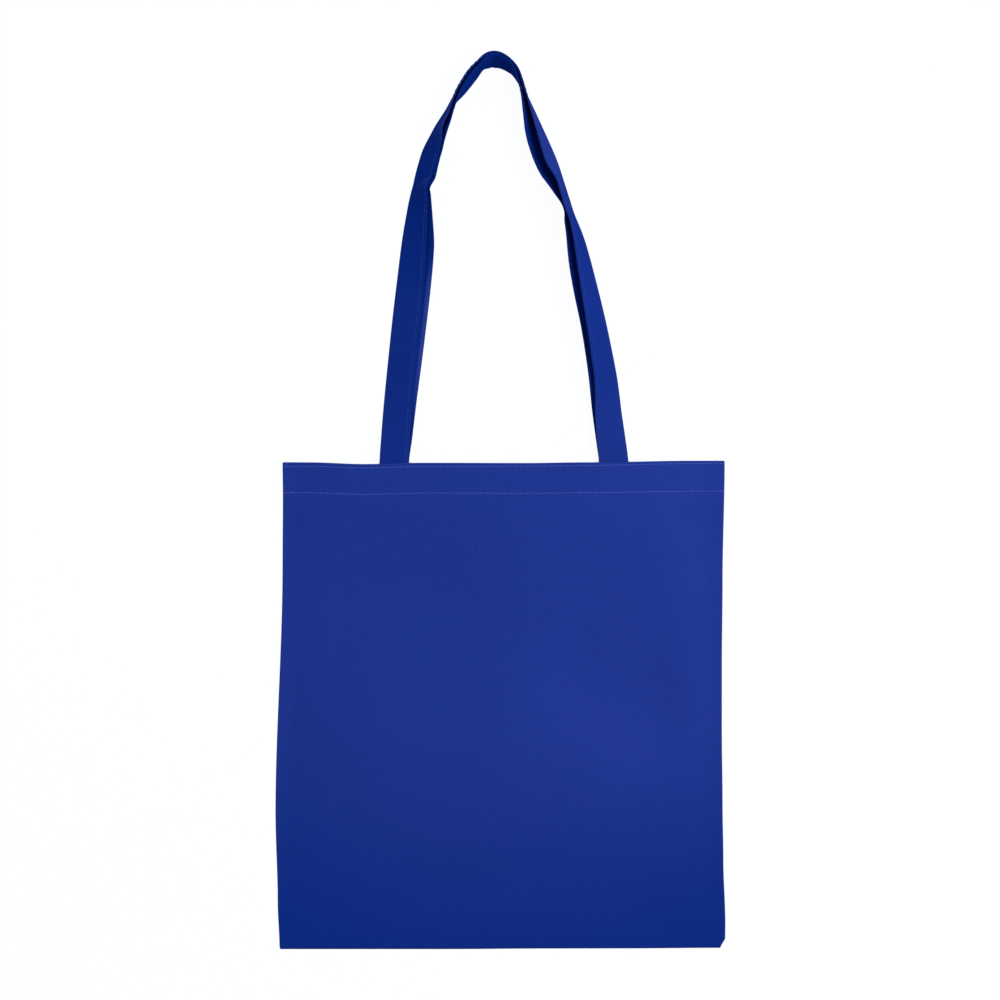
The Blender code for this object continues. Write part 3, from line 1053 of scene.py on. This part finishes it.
    def point(self, column: Column, row: Row) -> Vector:
        """Where a crossing of two grid lines comes to lie on the folded sheet.

        Args:
            column: The lengthwise grid line.
            row: The crosswise one.

        Returns:
            The place in the middle of the cloth's thickness.
        """
        side, angle, run = column
        panel, y, depth, bottom_angle = row
        pitch, half = self.cloth.pitch, self.cloth.thickness / 2.0
        layers = self.layers_turned_in(y)
        inset = half + layers * pitch / 2.0
        left, right = self.side_edge(-1, y) + inset, self.side_edge(1, y) - inset
        if side == 0:
            x = left + (right - left) * run
        else:
            radius = (layers - 2.0 * depth) * pitch / 2.0
            x = (left if side < 0 else right) + side * (radius * math.sin(angle) - run)
        deep = (depth + (layers - 2.0 * depth) * (1.0 - math.cos(angle)) / 2.0) * pitch
        if panel is Panel.FRONT:
            z = self.front_top(x, y) - half - deep
        elif panel is Panel.BACK:
            z = half + deep
        else:
            seam = self.seam_thickness(layers)
            radius = seam / 2.0 - half - deep
            z = seam / 2.0 + radius * math.cos(bottom_angle)
            y -= radius * math.sin(bottom_angle)
        return self.place + Vector((x, y + self.lean(x, y), z + self.lift))

    def pressing(self, column: Column, row: Row) -> float:
        """How hard the cloth is pressed at a crossing, by a fold or a seam.

        Args:
            column: The lengthwise grid line.
            row: The crosswise one.

        Returns:
            From 0 to 1.
        """
        side, _, run = column
        panel, y, _, _ = row
        from_side = 0.0 if side else min(run, 1.0 - run) * self.flat_width
        from_end = 0.0 if panel is Panel.BOTTOM else min(-y, y + self.length)
        seams = (self.seam_mark.pressing(y + line) for line in (self.mouth_seam, self.hem_seam))
        return max(bell(from_side, self.side_press), bell(from_end, self.end_press), *seams)

    def painted_shading(self, column: Column, row: Row) -> float:
        """How much painted light the cloth gets at a crossing: painted shade along the bottom and at the left.

        Args:
            column: The lengthwise grid line.
            row: The crosswise one.

        Returns:
            From 0 to 1.
        """
        side, _, run = column
        share = (0.0 if side < 0 else 1.0) if side else run
        arch = self.painted_light_arch * (1.0 - (2.0 * share - 1.0) ** 2)
        from_bottom = (row[1] + self.length) / self.length + arch
        sideways_light = self.least_painted_light + (1.0 - self.least_painted_light) * share
        return smoothstep(from_bottom / self.painted_light_reach) * sideways_light

    def build(self, material: bpy.types.Material) -> bpy.types.Object:
        """Folds the sheet.

        Args:
            material: The cloth's material.

        Returns:
            The sheet.
        """
        columns, rows = self.columns(), self.rows()

        def grid(value: Callable[[Column, Row], Any]) -> np.ndarray:
            """The value at every crossing, as rows by columns."""
            return np.array([[value(column, row) for column in columns] for row in rows])

        points, pressed, painted_light = grid(self.point), grid(self.pressing), grid(self.painted_shading)
        return self.cloth.sheet("body_sheet", points, pressed, painted_light, material)

    def seam_lines(self, depth: Callable[[float], float]) -> list[StitchLine]:
        """The lines of stitches on the front and on the back.

        Args:
            depth: Gives how far below the mouth they are at a place across the bag.

        Returns:
            One line for each panel.
        """
        left = self.side_edge(-1, -depth(0.0)) + self.seam_margin
        right = self.side_edge(1, -depth(0.0)) - self.seam_margin
        count = round((right - left) / self.seam_step)
        lines = []
        for panel in (Panel.FRONT, Panel.BACK):
            places = []
            for index in range(count + 1):
                x = left + (right - left) * index / count
                y = -depth(x)
                z = self.front_top(x, y) if panel is Panel.FRONT else 0.0
                places.append(self.place + Vector((x, y + self.lean(x, y), z + self.lift)))
            lines.append(StitchLine(places, [UP * panel.value] * len(places)))
        return lines


def rounded(distance: float, radius: float) -> float:
    """How far a rounded corner's outline draws in.

    Args:
        distance: How far from the outline's end.
        radius: The corner's radius.

    Returns:
        How far from the straight outline.
    """
    if distance >= radius:
        return 0.0
    reach = radius - max(0.0, distance)
    return radius - math.sqrt(radius**2 - reach**2)


# The handles


@dataclass(frozen=True)
class Crease:
    """A crease that crosses the front handle's upper face where the loop is bent hardest."""

    place: float = 0.3305  # as a share of the way along the loop
    slant: float = 0.024  # how far it runs on from the folded edge to the stitched one
    width: float = 0.0012
    height: float = 0.0009
    start: float = 0.6  # how far from the middle it begins, as a share of the way to the folded edge
    fade: int = 6  # how suddenly it ends before both edges, as a power
    grid: tuple[float, float] = (0.014, 0.0006)  # reach and spacing of the closer grid lines beside it

    def at(self, run: np.ndarray, across: np.ndarray) -> np.ndarray:
        """How much of the crease there is.

        Args:
            run: How far along the handle each row is.
            across: Where each column is across it, from -1 at the folded edge to 1 at the stitched one.

        Returns:
            From 0 to 1, as rows by columns.
        """
        line = run[-1] * self.place + self.slant * (across / 2.0)
        away = (run[:, None] - line[None, :]) / self.width
        inside = np.clip(self.start + across, 0.0, 1.0) * (1.0 - np.abs(across) ** self.fade)
        return np.exp(-(away**2)) * inside


@dataclass(frozen=True)
class Curl:
    """How the back handle's stitched edge curls down along the left leg of the loop, and gets painted light."""

    width: float = 0.0050
    most: float = 80.0  # how sharply it curls, per metre
    span: Stops = ((0.12, 0.0), (0.20, 80.0), (0.42, 80.0), (0.52, 0.0))  # by height in the loop
    painted_light_from: float = 0.85  # the share of the curl's width, in from the edge, that gets painted light
    painted_light_over: float = 0.0014  # how wide the change is from painted shade to painted light


@dataclass
class Handles:
    """The two handles, each one strip with its raw edges turned in, folded in half and sewn along one edge.

    They leave the mouth side by side and lie against each other along the loop. The route's rows are
    stations of the front handle, from the left end to the right one: its middle as shares of half the
    spacing across and of the rise, the tilts of the front and the back handle in degrees, and how far the
    back one has slid towards the inside of the loop, in metres. They come from a program that fitted them to
    the handles' outline in the photograph.
    """

    cloth: Cloth
    body: Body
    width: float = 0.0254
    turn_in: float = 0.012
    cut: tuple[float, float] = (0.075, 0.80)  # the flat size of a strip
    spacing: float = 0.1898
    centre: float = 0.0003
    loop_rise: float = 0.3555
    lift: float = 0.0002
    drop: float = 0.060  # above the mouth, the length in which the handles come down from the hem
    held: float = 0.0238  # how far they run into the hem
    sewn_gap: float = 0.0004
    softness: float = 0.0015  # how far along a handle its changes are evened out
    seam: float = 0.0030  # from the stitched edge to the line of stitches
    seam_mark: SeamMark = SeamMark(depth=0.00010, width=0.0007, pressed_width=0.0008, pressed_share=0.2)
    edge_press: float = 0.0017  # how far in from its edges a handle is pressed
    crease: Crease = Crease()
    curl: Curl = Curl()
    # How far the front one is lifted off the surface, from the left end of the loop, at -1, to the right one
    raised: Stops = (
        *((-0.70, 0.0), (-0.60, 0.0010), (-0.45, 0.0), (0.24, 0.0)),
        *((0.38, 0.0062), (0.80, 0.0055), (0.97, 0.0)),
    )
    # How far apart the stitched edges stand, in the same way
    gap: Stops = (
        *((-0.80, 0.0), (-0.74, 0.0008), (-0.70, 0.0), (-0.56, 0.0)),
        *((-0.46, 0.0021), (-0.24, 0.0016), (-0.12, 0.0)),
    )
    # The painted light and shade of the front one, by the share of its length from the left, and the painted
    # shade of the whole back one
    painted_lighting: Stops = (
        *((0.0, 0.30), (0.19, 0.24), (0.25, 0.10), (0.37, 0.08), (0.41, 0.65), (0.43, 0.42), (0.455, 0.10)),
        *((0.50, 0.05), (0.55, 0.24), (0.59, 0.85), (0.64, 0.75), (0.72, 0.36), (0.86, 0.35), (0.95, 0.55)),
    )
    back_painted_shade: float = 0.04
    route: tuple[tuple[float, ...], ...] = (
        (-0.965, 0.152, 19.6, 19.1, 0.0035), (-0.891, 0.346, 19.7, 19.2, 0.0050),
        (-0.851, 0.444, 24.5, 24.0, 0.0056), (-0.818, 0.540, 35.2, 33.2, 0.0068),
        (-0.778, 0.639, 52.2, 47.8, 0.0010), (-0.765, 0.672, 62.6, 59.2, 0.0),
        (-0.730, 0.700, 56.6, 68.8, 0.0005), (-0.673, 0.751, 56.3, 55.5, 0.0011),
        (-0.624, 0.788, 65.3, 62.5, 0.0003), (-0.586, 0.822, 78.8, 70.6, 0.0015),
        (-0.515, 0.856, 83.5, 79.0, 0.0009), (-0.435, 0.904, 90.7, 98.4, 0.0006),
        (-0.319, 0.953, 92.4, 104.8, 0.0002), (-0.241, 0.977, 88.8, 102.0, 0.0),
        (-0.165, 0.986, 103.5, 113.1, 0.0), (-0.091, 0.989, 108.8, 116.4, 0.0),
        (-0.023, 0.985, 107.1, 116.8, -0.0002), (0.038, 0.970, 110.7, 110.7, -0.0008),
        (0.111, 0.952, 102.3, 98.5, -0.0017), (0.191, 0.906, 92.1, 85.5, -0.0013),
        (0.327, 0.810, 78.3, 59.0, 0.0020), (0.431, 0.735, 70.0, 50.4, 0.0012),
        (0.500, 0.696, 78.2, 59.0, 0.0005), (0.581, 0.627, 77.7, 77.2, -0.0005),
        (0.618, 0.599, 78.7, 72.6, 0.0005), (0.673, 0.553, 71.8, 62.4, 0.0019),
        (0.724, 0.493, 63.5, 52.4, 0.0028), (0.838, 0.343, 49.4, 30.8, -0.0010),
        (0.928, 0.202, 39.1, 26.6, 0.0011), (0.948, 0.129, 26.6, 14.8, 0.0002),
    )
    # The mesh: its rows for each stretch of the route, the spacing of its rows and columns, and reach and
    # spacing of the closer columns beside the stitches
    steps: int = 2
    row_step: float = 0.002
    column_step: float = 0.0028
    seam_grid: tuple[float, float] = (0.0016, 0.0004)
    turned_in_steps: int = 5
    inner_turn_steps: int = 5
    outer_turn_steps: int = 8

    @property
    def thickness(self) -> float:
        """Of a folded handle: four layers."""
        return self.cloth.pile(4.0)

    @property
    def loose(self) -> float:
        """From the middle of a handle's thickness to the middle of its outer layer."""
        return 1.5 * self.cloth.pitch

    def end(self, side: int) -> tuple[float, ...]:
        """The station where a handle leaves the mouth: the front one is tilted with the front panel.

        Args:
            side: -1 for the left end and 1 for the right one.

        Returns:
            The station, as in the route.
        """
        x, half = self.centre + side * self.spacing / 2.0, self.width / 2.0
        rise = self.body.front_top(x - side * half, 0.0) - self.body.front_top(x + side * half, 0.0)
        return (side, 0.0, math.degrees(math.atan2(rise, self.width)), 0.0, 0.0)

    def stations(self) -> list[tuple[float, ...]]:
        """The whole route, with the stretches inside the hem.

        Returns:
            The stretch inside the hem, the loop, and the other stretch inside the hem.
        """
        left, right = self.end(-1), self.end(1)
        known = [left, *self.route, right]
        loop = [
            catmull_rom(known, index, step / self.steps)
            for index in range(len(known) - 1)
            for step in range(self.steps)
        ]
        inside = -self.held / self.loop_rise
        return [(left[0], inside, *left[2:]), *loop, right, (right[0], inside, *right[2:])]

    def resting_height(self, tilt: float) -> float:
        """The height of the middle of a tilted handle that just clears the surface under the bag."""
        return self.lift + self.width / 2.0 * abs(math.sin(tilt)) + self.thickness / 2.0 * abs(math.cos(tilt))

    def nested(
        self, front_tilt: float, back_tilt: float, slide: float, back_height: float, gap: float
    ) -> tuple[float, float]:
        """How the front handle lies against the back one.

        Where the front handle is the steeper one, their folded edges meet. Where the back one leans past
        it, as at the top of the loop, their stitched edges meet.

        Args:
            front_tilt: The front handle's tilt in radians.
            back_tilt: The back one's.
            slide: How far the back one has slid towards the inside of the loop.
            back_height: The height of its middle.
            gap: How far the stitched edges stand apart, where they would meet.

        Returns:
            The inward offset of the back one's middle from the front one's, and the front one's height.
        """
        half, apart = self.width / 2.0, self.thickness
        front_height = self.resting_height(front_tilt)
        if back_tilt <= front_tilt:
            offset = half * (math.cos(back_tilt) - math.cos(front_tilt))
            offset += apart * math.sin(back_tilt) + slide * math.cos(back_tilt)
            folded_edge = back_height - (half + slide) * math.sin(back_tilt) + apart * math.cos(back_tilt)
            return offset, max(front_height, folded_edge + half * math.sin(front_tilt))
        front_edge = front_height + half * math.sin(front_tilt)
        back_edge = back_height + half * math.sin(back_tilt)
        shift = (front_edge - back_edge - apart * math.cos(back_tilt)) / math.sin(back_tilt)
        offset = half * (math.cos(front_tilt) - math.cos(back_tilt))
        offset += (apart + gap) * math.sin(back_tilt) - shift * math.cos(back_tilt)
        return offset, front_height

    def held_heights(self, side: int) -> tuple[float, float]:
        """The heights of the handles where the hem holds them.

        Args:
            side: -1 for the left end and 1 for the right one.

        Returns:
            The heights of the middles of the front and the back handle.
        """
        x, half = self.centre + side * self.spacing / 2.0, self.width / 2.0
        under_hem = self.body.cloth.pile(2.0) + self.sewn_gap + self.thickness / 2.0
        top = (self.body.front_top(x - half, 0.0) + self.body.front_top(x + half, 0.0)) / 2.0
        return top - under_hem, under_hem

    def coarse_rows(self) -> dict[Which, np.ndarray]:
        """Each handle at the stations.

        Returns:
            Rows of its middle's x, y and z, its heading, its tilt and its curl.
        """
        steps = self.stations()
        half = self.spacing / 2.0
        middles = [Vector((self.centre + across * half, rise * self.loop_rise)) for across, rise, *_ in steps]
        rows: dict[Which, list[tuple[float, ...]]] = {Which.FRONT: [], Which.BACK: []}
        heading = math.pi / 2.0
        for index, (across, rise, front_degrees, back_degrees, slide) in enumerate(steps):
            before, after = middles[max(index - 1, 0)], middles[min(index + 1, len(middles) - 1)]
            along = (after - before).normalized()
            turned = math.atan2(along.y, along.x)
            heading += (turned - heading + math.pi) % math.tau - math.pi
            inward = Vector((along.y, -along.x))
            front_tilt, back_tilt = math.radians(front_degrees), math.radians(back_degrees)
            front_end, back_end = self.held_heights(-1 if index < len(steps) / 2 else 1)
            held = 1.0 - smoothstep(middles[index].y / self.drop)
            back_height = self.resting_height(back_tilt)
            back_height += max(0.0, back_end - back_height) * held
            gap = smooth_line(self.gap, across)
            offset, front_height = self.nested(front_tilt, back_tilt, slide, back_height, gap)
            front_height += (front_end - front_height) * held + smooth_line(self.raised, across)
            back = middles[index] + inward * offset
            curl = smooth_line(self.curl.span, rise) if across < 0.0 else 0.0
            rows[Which.FRONT].append((*middles[index], front_height, heading, front_tilt, 0.0))
            rows[Which.BACK].append((*back, back_height, heading, back_tilt, curl))
        return {which: np.array(row) for which, row in rows.items()}

    def fine_rows(self) -> dict[Which, np.ndarray]:
        """The rows at close steps, on smooth curves through the stations.

        Returns:
            Rows as at the stations, that lie closest at the crease.
        """
        coarse = self.coarse_rows()
        run = run_along(coarse[Which.FRONT])
        even = np.linspace(0.0, run[-1], round(run[-1] / self.row_step) + 1)
        spacing = even[1] - even[0]
        places = graded(0.0, run[-1], spacing, (self.crease.place * run[-1],), *self.crease.grid)

        def fine(row: np.ndarray) -> np.ndarray:
            """One handle's rows at the close steps."""
            smooth = softened(smooth_curve(run, row, even), self.softness / spacing)
            return np.stack([np.interp(places, even, value) for value in smooth.T], axis=1)

        return {which: fine(row) for which, row in coarse.items()}

    def columns(self) -> list[tuple[float, float]]:
        """The strip's lengthwise grid lines, from one raw edge to the other.

        Returns:
            For each line how far it is across the folded handle, from its middle towards the stitched
            edge, and how far up through its thickness.
        """
        stitched, folded = self.width / 2.0, -self.width / 2.0
        tight, loose, half = self.cloth.pitch / 2.0, self.loose, self.cloth.thickness / 2.0
        raw = stitched - self.turn_in
        tip = stitched - half - tight
        fold = folded + half + loose
        line = stitched - self.seam
        across = graded(tip, fold, self.column_step, (line,), *self.seam_grid)
        steps = self.turned_in_steps
        turned_in = [(raw + (tip - raw) * step / steps, tight) for step in range(steps + 1)]
        inner, outer = fold_angles(self.inner_turn_steps), fold_angles(self.outer_turn_steps)
        turn = [(tip + tight * math.sin(angle), tight * (2.0 - math.cos(angle))) for angle in inner]
        face = [(place, loose - self.seam_mark.groove(place - line)) for place in across]
        folded_edge = [(fold - loose * math.sin(angle), loose * math.cos(angle)) for angle in outer]
        upper = turned_in + turn + face
        lower = [(place, -up) for place, up in reversed(upper)]
        return upper + folded_edge + lower

    def pressing(self, across: float) -> float:
        """How hard the cloth is pressed, by the folded or the stitched edge or the seam.

        Args:
            across: The place across the handle, from its middle towards the stitched edge.

        Returns:
            From 0 to 1.
        """
        from_edge = self.width / 2.0 - abs(across)
        from_seam = across - (self.width / 2.0 - self.seam)
        return max(bell(from_edge, self.edge_press), self.seam_mark.pressing(from_seam))

    def axes(self, rows: np.ndarray) -> tuple[np.ndarray, np.ndarray]:
        """The directions of a handle's section.

        Args:
            rows: The handle's rows.

        Returns:
            The ways across it, towards its stitched edge, and up through its thickness, one for each row.
        """
        heading, tilt = rows[:, HEADING], rows[:, TILT]
        inward = np.stack([np.sin(heading), -np.cos(heading), np.zeros_like(heading)], axis=1)
        cosine, sine = np.cos(tilt)[:, None], np.sin(tilt)[:, None]
        up = np.array(UP)[None, :]
        return inward * cosine + up * sine, up * cosine - inward * sine

    def points(self, rows: np.ndarray, columns: Sequence[tuple[float, float]]) -> np.ndarray:
        """Where the crossings of the grid lines come to lie.

        Args:
            rows: The handle's rows.
            columns: Its lengthwise grid lines.

        Returns:
            The places, as rows by columns by 3.
        """
        across, up = self.axes(rows)
        section = np.array(columns)
        middles = rows[:, :3] + np.array(self.body.place)[None, :]
        beyond = np.maximum(0.0, section[:, 0] - self.width / 2.0 + self.curl.width)
        height = section[None, :, 1] - rows[:, CURL, None] * beyond[None, :] ** 2
        return middles[:, None] + across[:, None] * section[None, :, :1] + up[:, None] * height[:, :, None]

    def build(self, which: Which, material: bpy.types.Material) -> bpy.types.Object:
        """Folds one handle's strip.

        Args:
            which: The handle.
            material: The cloth's material.

        Returns:
            The strip.
        """
        rows, columns = self.fine_rows()[which], self.columns()
        points = self.points(rows, columns)
        pressed = np.tile([self.pressing(across) for across, _ in columns], (len(rows), 1))
        if which is Which.FRONT:
            creased = self.creased(rows, columns)
            points += self.axes(rows)[1][:, None] * (self.crease.height * creased)[:, :, None]
            run = run_along(rows)
            # Painted light and shade along the front handle, by its length
            painted_lighting = np.array([smooth_line(self.painted_lighting, place / run[-1]) for place in run])
            painted_light = np.repeat(painted_lighting[:, None], len(columns), axis=1)
            # A painted highlight along the crease
            painted_light += (1.0 - painted_light) * creased
        else:
            # The back one: painted shade all over, and painted light on the inner part of its curled edge
            curl = self.curl
            start = self.width / 2.0 - curl.painted_light_from * curl.width
            beyond = np.array([smoothstep((across - start) / curl.painted_light_over) for across, _ in columns])
            curled = np.minimum(1.0, rows[:, CURL] / curl.most)
            painted_light = self.back_painted_shade + (1.0 - self.back_painted_shade) * curled[:, None] * beyond[None, :]
        return self.cloth.sheet(f"{which.value}_handle_strip", points, pressed, painted_light, material)

    def creased(self, rows: np.ndarray, columns: Sequence[tuple[float, float]]) -> np.ndarray:
        """How much of the crease there is on the upper face of the front handle.

        Args:
            rows: The handle's rows.
            columns: Its lengthwise grid lines.

        Returns:
            From 0 to 1, as rows by columns.
        """
        section = np.array(columns)
        return self.crease.at(run_along(rows), section[:, 0] / (self.width / 2.0)) * (section[:, 1] > 0.0)

    def seam_lines(self, which: Which) -> list[StitchLine]:
        """The lines of stitches on both faces of one handle.

        Args:
            which: The handle.

        Returns:
            One line for each face.
        """
        rows = self.fine_rows()[which]
        lines = []
        for face in (1.0, -1.0):
            surface = self.loose + self.cloth.thickness / 2.0 - self.seam_mark.depth
            places = self.points(rows, [(self.width / 2.0 - self.seam, face * surface)])[:, 0]
            outwards = self.axes(rows)[1] * face
            lines.append(StitchLine([Vector(place) for place in places], [Vector(way) for way in outwards]))
        return lines


def run_along(rows: np.ndarray) -> np.ndarray:
    """How far along the ground each row is from the first one.

    Args:
        rows: The rows, which begin with x and y.

    Returns:
        The distances.
    """
    steps = np.linalg.norm(np.diff(rows[:, :2], axis=0), axis=1)
    return np.concatenate([[0.0], np.cumsum(steps)])


def catmull_rom(rows: Sequence[tuple[float, ...]], index: int, share: float) -> tuple[float, ...]:
    """A row between two others, on a smooth curve through all of them.

    Args:
        rows: All the rows.
        index: The row before it.
        share: How far it is on the way to the next one.

    Returns:
        The row.
    """
    last = len(rows) - 1
    before, start, end, after = (rows[min(max(index + step, 0), last)] for step in (-1, 0, 1, 2))
    return tuple(
        b
        + 0.5 * (c - a) * share
        + 0.5 * (2 * a - 5 * b + 4 * c - d) * share**2
        + 0.5 * (3 * b - a - 3 * c + d) * share**3
        for a, b, c, d in zip(before, start, end, after)
    )


def smooth_curve(run: np.ndarray, rows: np.ndarray, fine: np.ndarray) -> np.ndarray:
    """Rows on a smooth curve through unevenly spaced ones.

    Args:
        run: How far along each known row is.
        rows: The known rows.
        fine: How far along the wanted rows are.

    Returns:
        The wanted rows.
    """
    gaps = np.diff(run)[:, None]
    slopes = np.diff(rows, axis=0) / gaps
    inner = (slopes[:-1] * gaps[1:] + slopes[1:] * gaps[:-1]) / (gaps[:-1] + gaps[1:])
    tangents = np.concatenate([slopes[:1], inner, slopes[-1:]])
    index = np.clip(np.searchsorted(run, fine, side="right") - 1, 0, len(run) - 2)
    gap = gaps[index]
    share = ((fine - run[index])[:, None]) / gap
    start, end = rows[index], rows[index + 1]
    out, into = tangents[index] * gap, tangents[index + 1] * gap
    cube, square = share**3, share**2
    return (
        (2 * cube - 3 * square + 1) * start
        + (cube - 2 * square + share) * out
        + (3 * square - 2 * cube) * end
        + (cube - square) * into
    )


def softened(rows: np.ndarray, spread: float) -> np.ndarray:
    """Rows averaged with their neighbours, with the ends kept.

    Args:
        rows: The rows.
        spread: The spread of the average, in rows.

    Returns:
        The softened rows.
    """
    reach = math.ceil(3.0 * spread)
    weights = np.exp(-0.5 * (np.arange(-reach, reach + 1) / spread) ** 2)
    weights /= weights.sum()
    head = 2 * rows[:1] - rows[reach:0:-1]
    tail = 2 * rows[-1:] - rows[-2 : -reach - 2 : -1]
    padded = np.concatenate([head, rows, tail])
    return np.stack([np.convolve(column, weights, mode="valid") for column in padded.T], axis=1)


# The studio


@dataclass
class Studio:
    """The camera straight above the bag, the soft lamp at the upper right, the dome and the floor."""

    centre: tuple[float, float] = (-0.00022, 0.00031)
    frame_width: float = 0.864  # what the camera sees across, at the height of the cloth
    cloth_height: float = 0.012
    camera_height: float = 20.0
    camera_reach: float = 100.0
    sensor: float = 36.0
    lamp_way: Vector = field(default_factory=lambda: Vector((0.44, 0.34, 0.80)))
    lamp_distance: float = 3.2
    lamp_size: float = 1.45
    lamp_share: float = 0.55  # of the light that falls on the flat cloth
    dome: float = 0.445
    floor_half: float = 6.0  # the floor reaches this far each way

    def build(self) -> None:
        """Sets up the whole studio."""
        self.camera()
        self.lamp()
        self.world()
        self.floor()

    def camera(self) -> None:
        """A long lens, which shows the bag without perspective, as the photograph does."""
        data = bpy.data.cameras.new("camera")
        data.sensor_width = self.sensor
        data.lens = self.sensor * (self.camera_height - self.cloth_height) / self.frame_width
        data.clip_end = self.camera_reach
        camera = new_object("camera", data)
        camera.location = (*self.centre, self.camera_height)
        bpy.context.scene.camera = camera

    def lamp(self) -> None:
        """A square soft box that gives its share of a plain level of light in the middle of the floor."""
        data = bpy.data.lights.new("soft_box", "AREA")
        data.size = self.lamp_size
        way = self.lamp_way.normalized()
        data.energy = math.pi**2 * self.lamp_share * self.lamp_distance**2 / way.z
        lamp = new_object("soft_box", data)
        lamp.location = way * self.lamp_distance
        lamp.rotation_euler = way.to_track_quat("Z", "Y").to_euler()

    def world(self) -> None:
        """An even dome of light, behind which the camera sees white."""
        world = bpy.data.worlds.new("dome")
        world.use_nodes = True
        world.node_tree.nodes.clear()
        tree = Tree(world.node_tree)
        white = (1.0, 1.0, 1.0, 1.0)
        light = tree.out("ShaderNodeBackground", {"Color": white, "Strength": self.dome})
        backdrop = tree.out("ShaderNodeBackground", {"Color": white, "Strength": 1.0})
        mixed = tree.out("ShaderNodeMixShader", {0: seen_straight(tree), 1: light, 2: backdrop})
        tree.add("ShaderNodeOutputWorld", {"Surface": mixed})
        bpy.context.scene.world = world

    def floor(self) -> None:
        """The floor under the bag."""
        mesh = bpy.data.meshes.new("floor")
        half = self.floor_half
        corners = [(-half, -half, 0.0), (half, -half, 0.0), (half, half, 0.0), (-half, half, 0.0)]
        mesh.from_pydata(corners, [], [(0, 1, 2, 3)])
        mesh.materials.append(WhiteFloor().dress())
        new_object("floor", mesh)


def main() -> None:
    """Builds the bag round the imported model, piece by piece, and the studio round the bag."""
    logging.basicConfig(level=logging.INFO, format="%(name)s: %(message)s")
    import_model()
    bpy.context.scene.view_settings.view_transform = "Standard"

    body_cloth = EmbossedCloth(
        "body_cloth", fibres=(0.0330, 0.0635, 0.362), points=(0.0001, 0.0205, 0.252)
    ).dress()
    # The handles' cloth has no gloss: its sheen is painted into the fibres' red
    handle_cloth = EmbossedCloth(
        "handle_cloth",
        fibres=(0.0345, 0.0580, 0.289),
        points=(0.0001, 0.0116, 0.176),
        specular=0.0,
        # The handles' painted shade and painted light tones
        painted_shade_tone=(0.12, 0.73, 1.05),
        painted_light_tone=(1.30, 1.34, 1.25),
    ).dress()
    # One thread in three tones: the handles' copies are darker, painted shade, and the back handle's is darkest
    thread = SewingThread("thread", ridges=(0.085, 0.135, 0.56), shaded_grooves=(0.05, 0.09, 0.44)).dress()
    front_thread_in_shade = SewingThread(
        "front_thread_in_shade", ridges=(0.034, 0.074, 0.42), shaded_grooves=(0.018, 0.048, 0.33), specular=0.0
    ).dress()
    back_thread_in_deep_shade = SewingThread(
        "back_thread_in_deep_shade", ridges=(0.012, 0.040, 0.30), shaded_grooves=(0.006, 0.028, 0.24), specular=0.0
    ).dress()

    body = Body(Cloth())
    low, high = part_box("body")
    body.place = Vector(((low.x + high.x) / 2.0 + body.skew, high.y, 0.0))
    thinned = Cloth(thickness=0.30 * MILLIMETRE, air=0.04 * MILLIMETRE)  # four layers, pressed hard
    handles = Handles(thinned, body)
    stitch = Lockstitch()

    sheet = body.build(body_cloth)
    seams = [
        stitch.sew("mouth_stitches", body.seam_lines(body.mouth_seam_at), thread),
        stitch.sew("hem_stitches", body.seam_lines(lambda x: body.hem_seam), thread),
    ]
    for piece in (sheet, *seams):
        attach(piece, "root")
        LOG.info("%s: %d faces", piece.name, len(piece.data.polygons))
    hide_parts("body")

    for which, handle_thread in ((Which.FRONT, front_thread_in_shade), (Which.BACK, back_thread_in_deep_shade)):
        strip = handles.build(which, handle_cloth)
        seam = stitch.sew(f"{which.value}_handle_stitches", handles.seam_lines(which), handle_thread)
        for piece in (strip, seam):
            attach(piece, "root")
            LOG.info("%s: %d faces", piece.name, len(piece.data.polygons))
        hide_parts(f"{which.value}_handle")

    Studio().build()


if __name__ == "__main__":
    main()
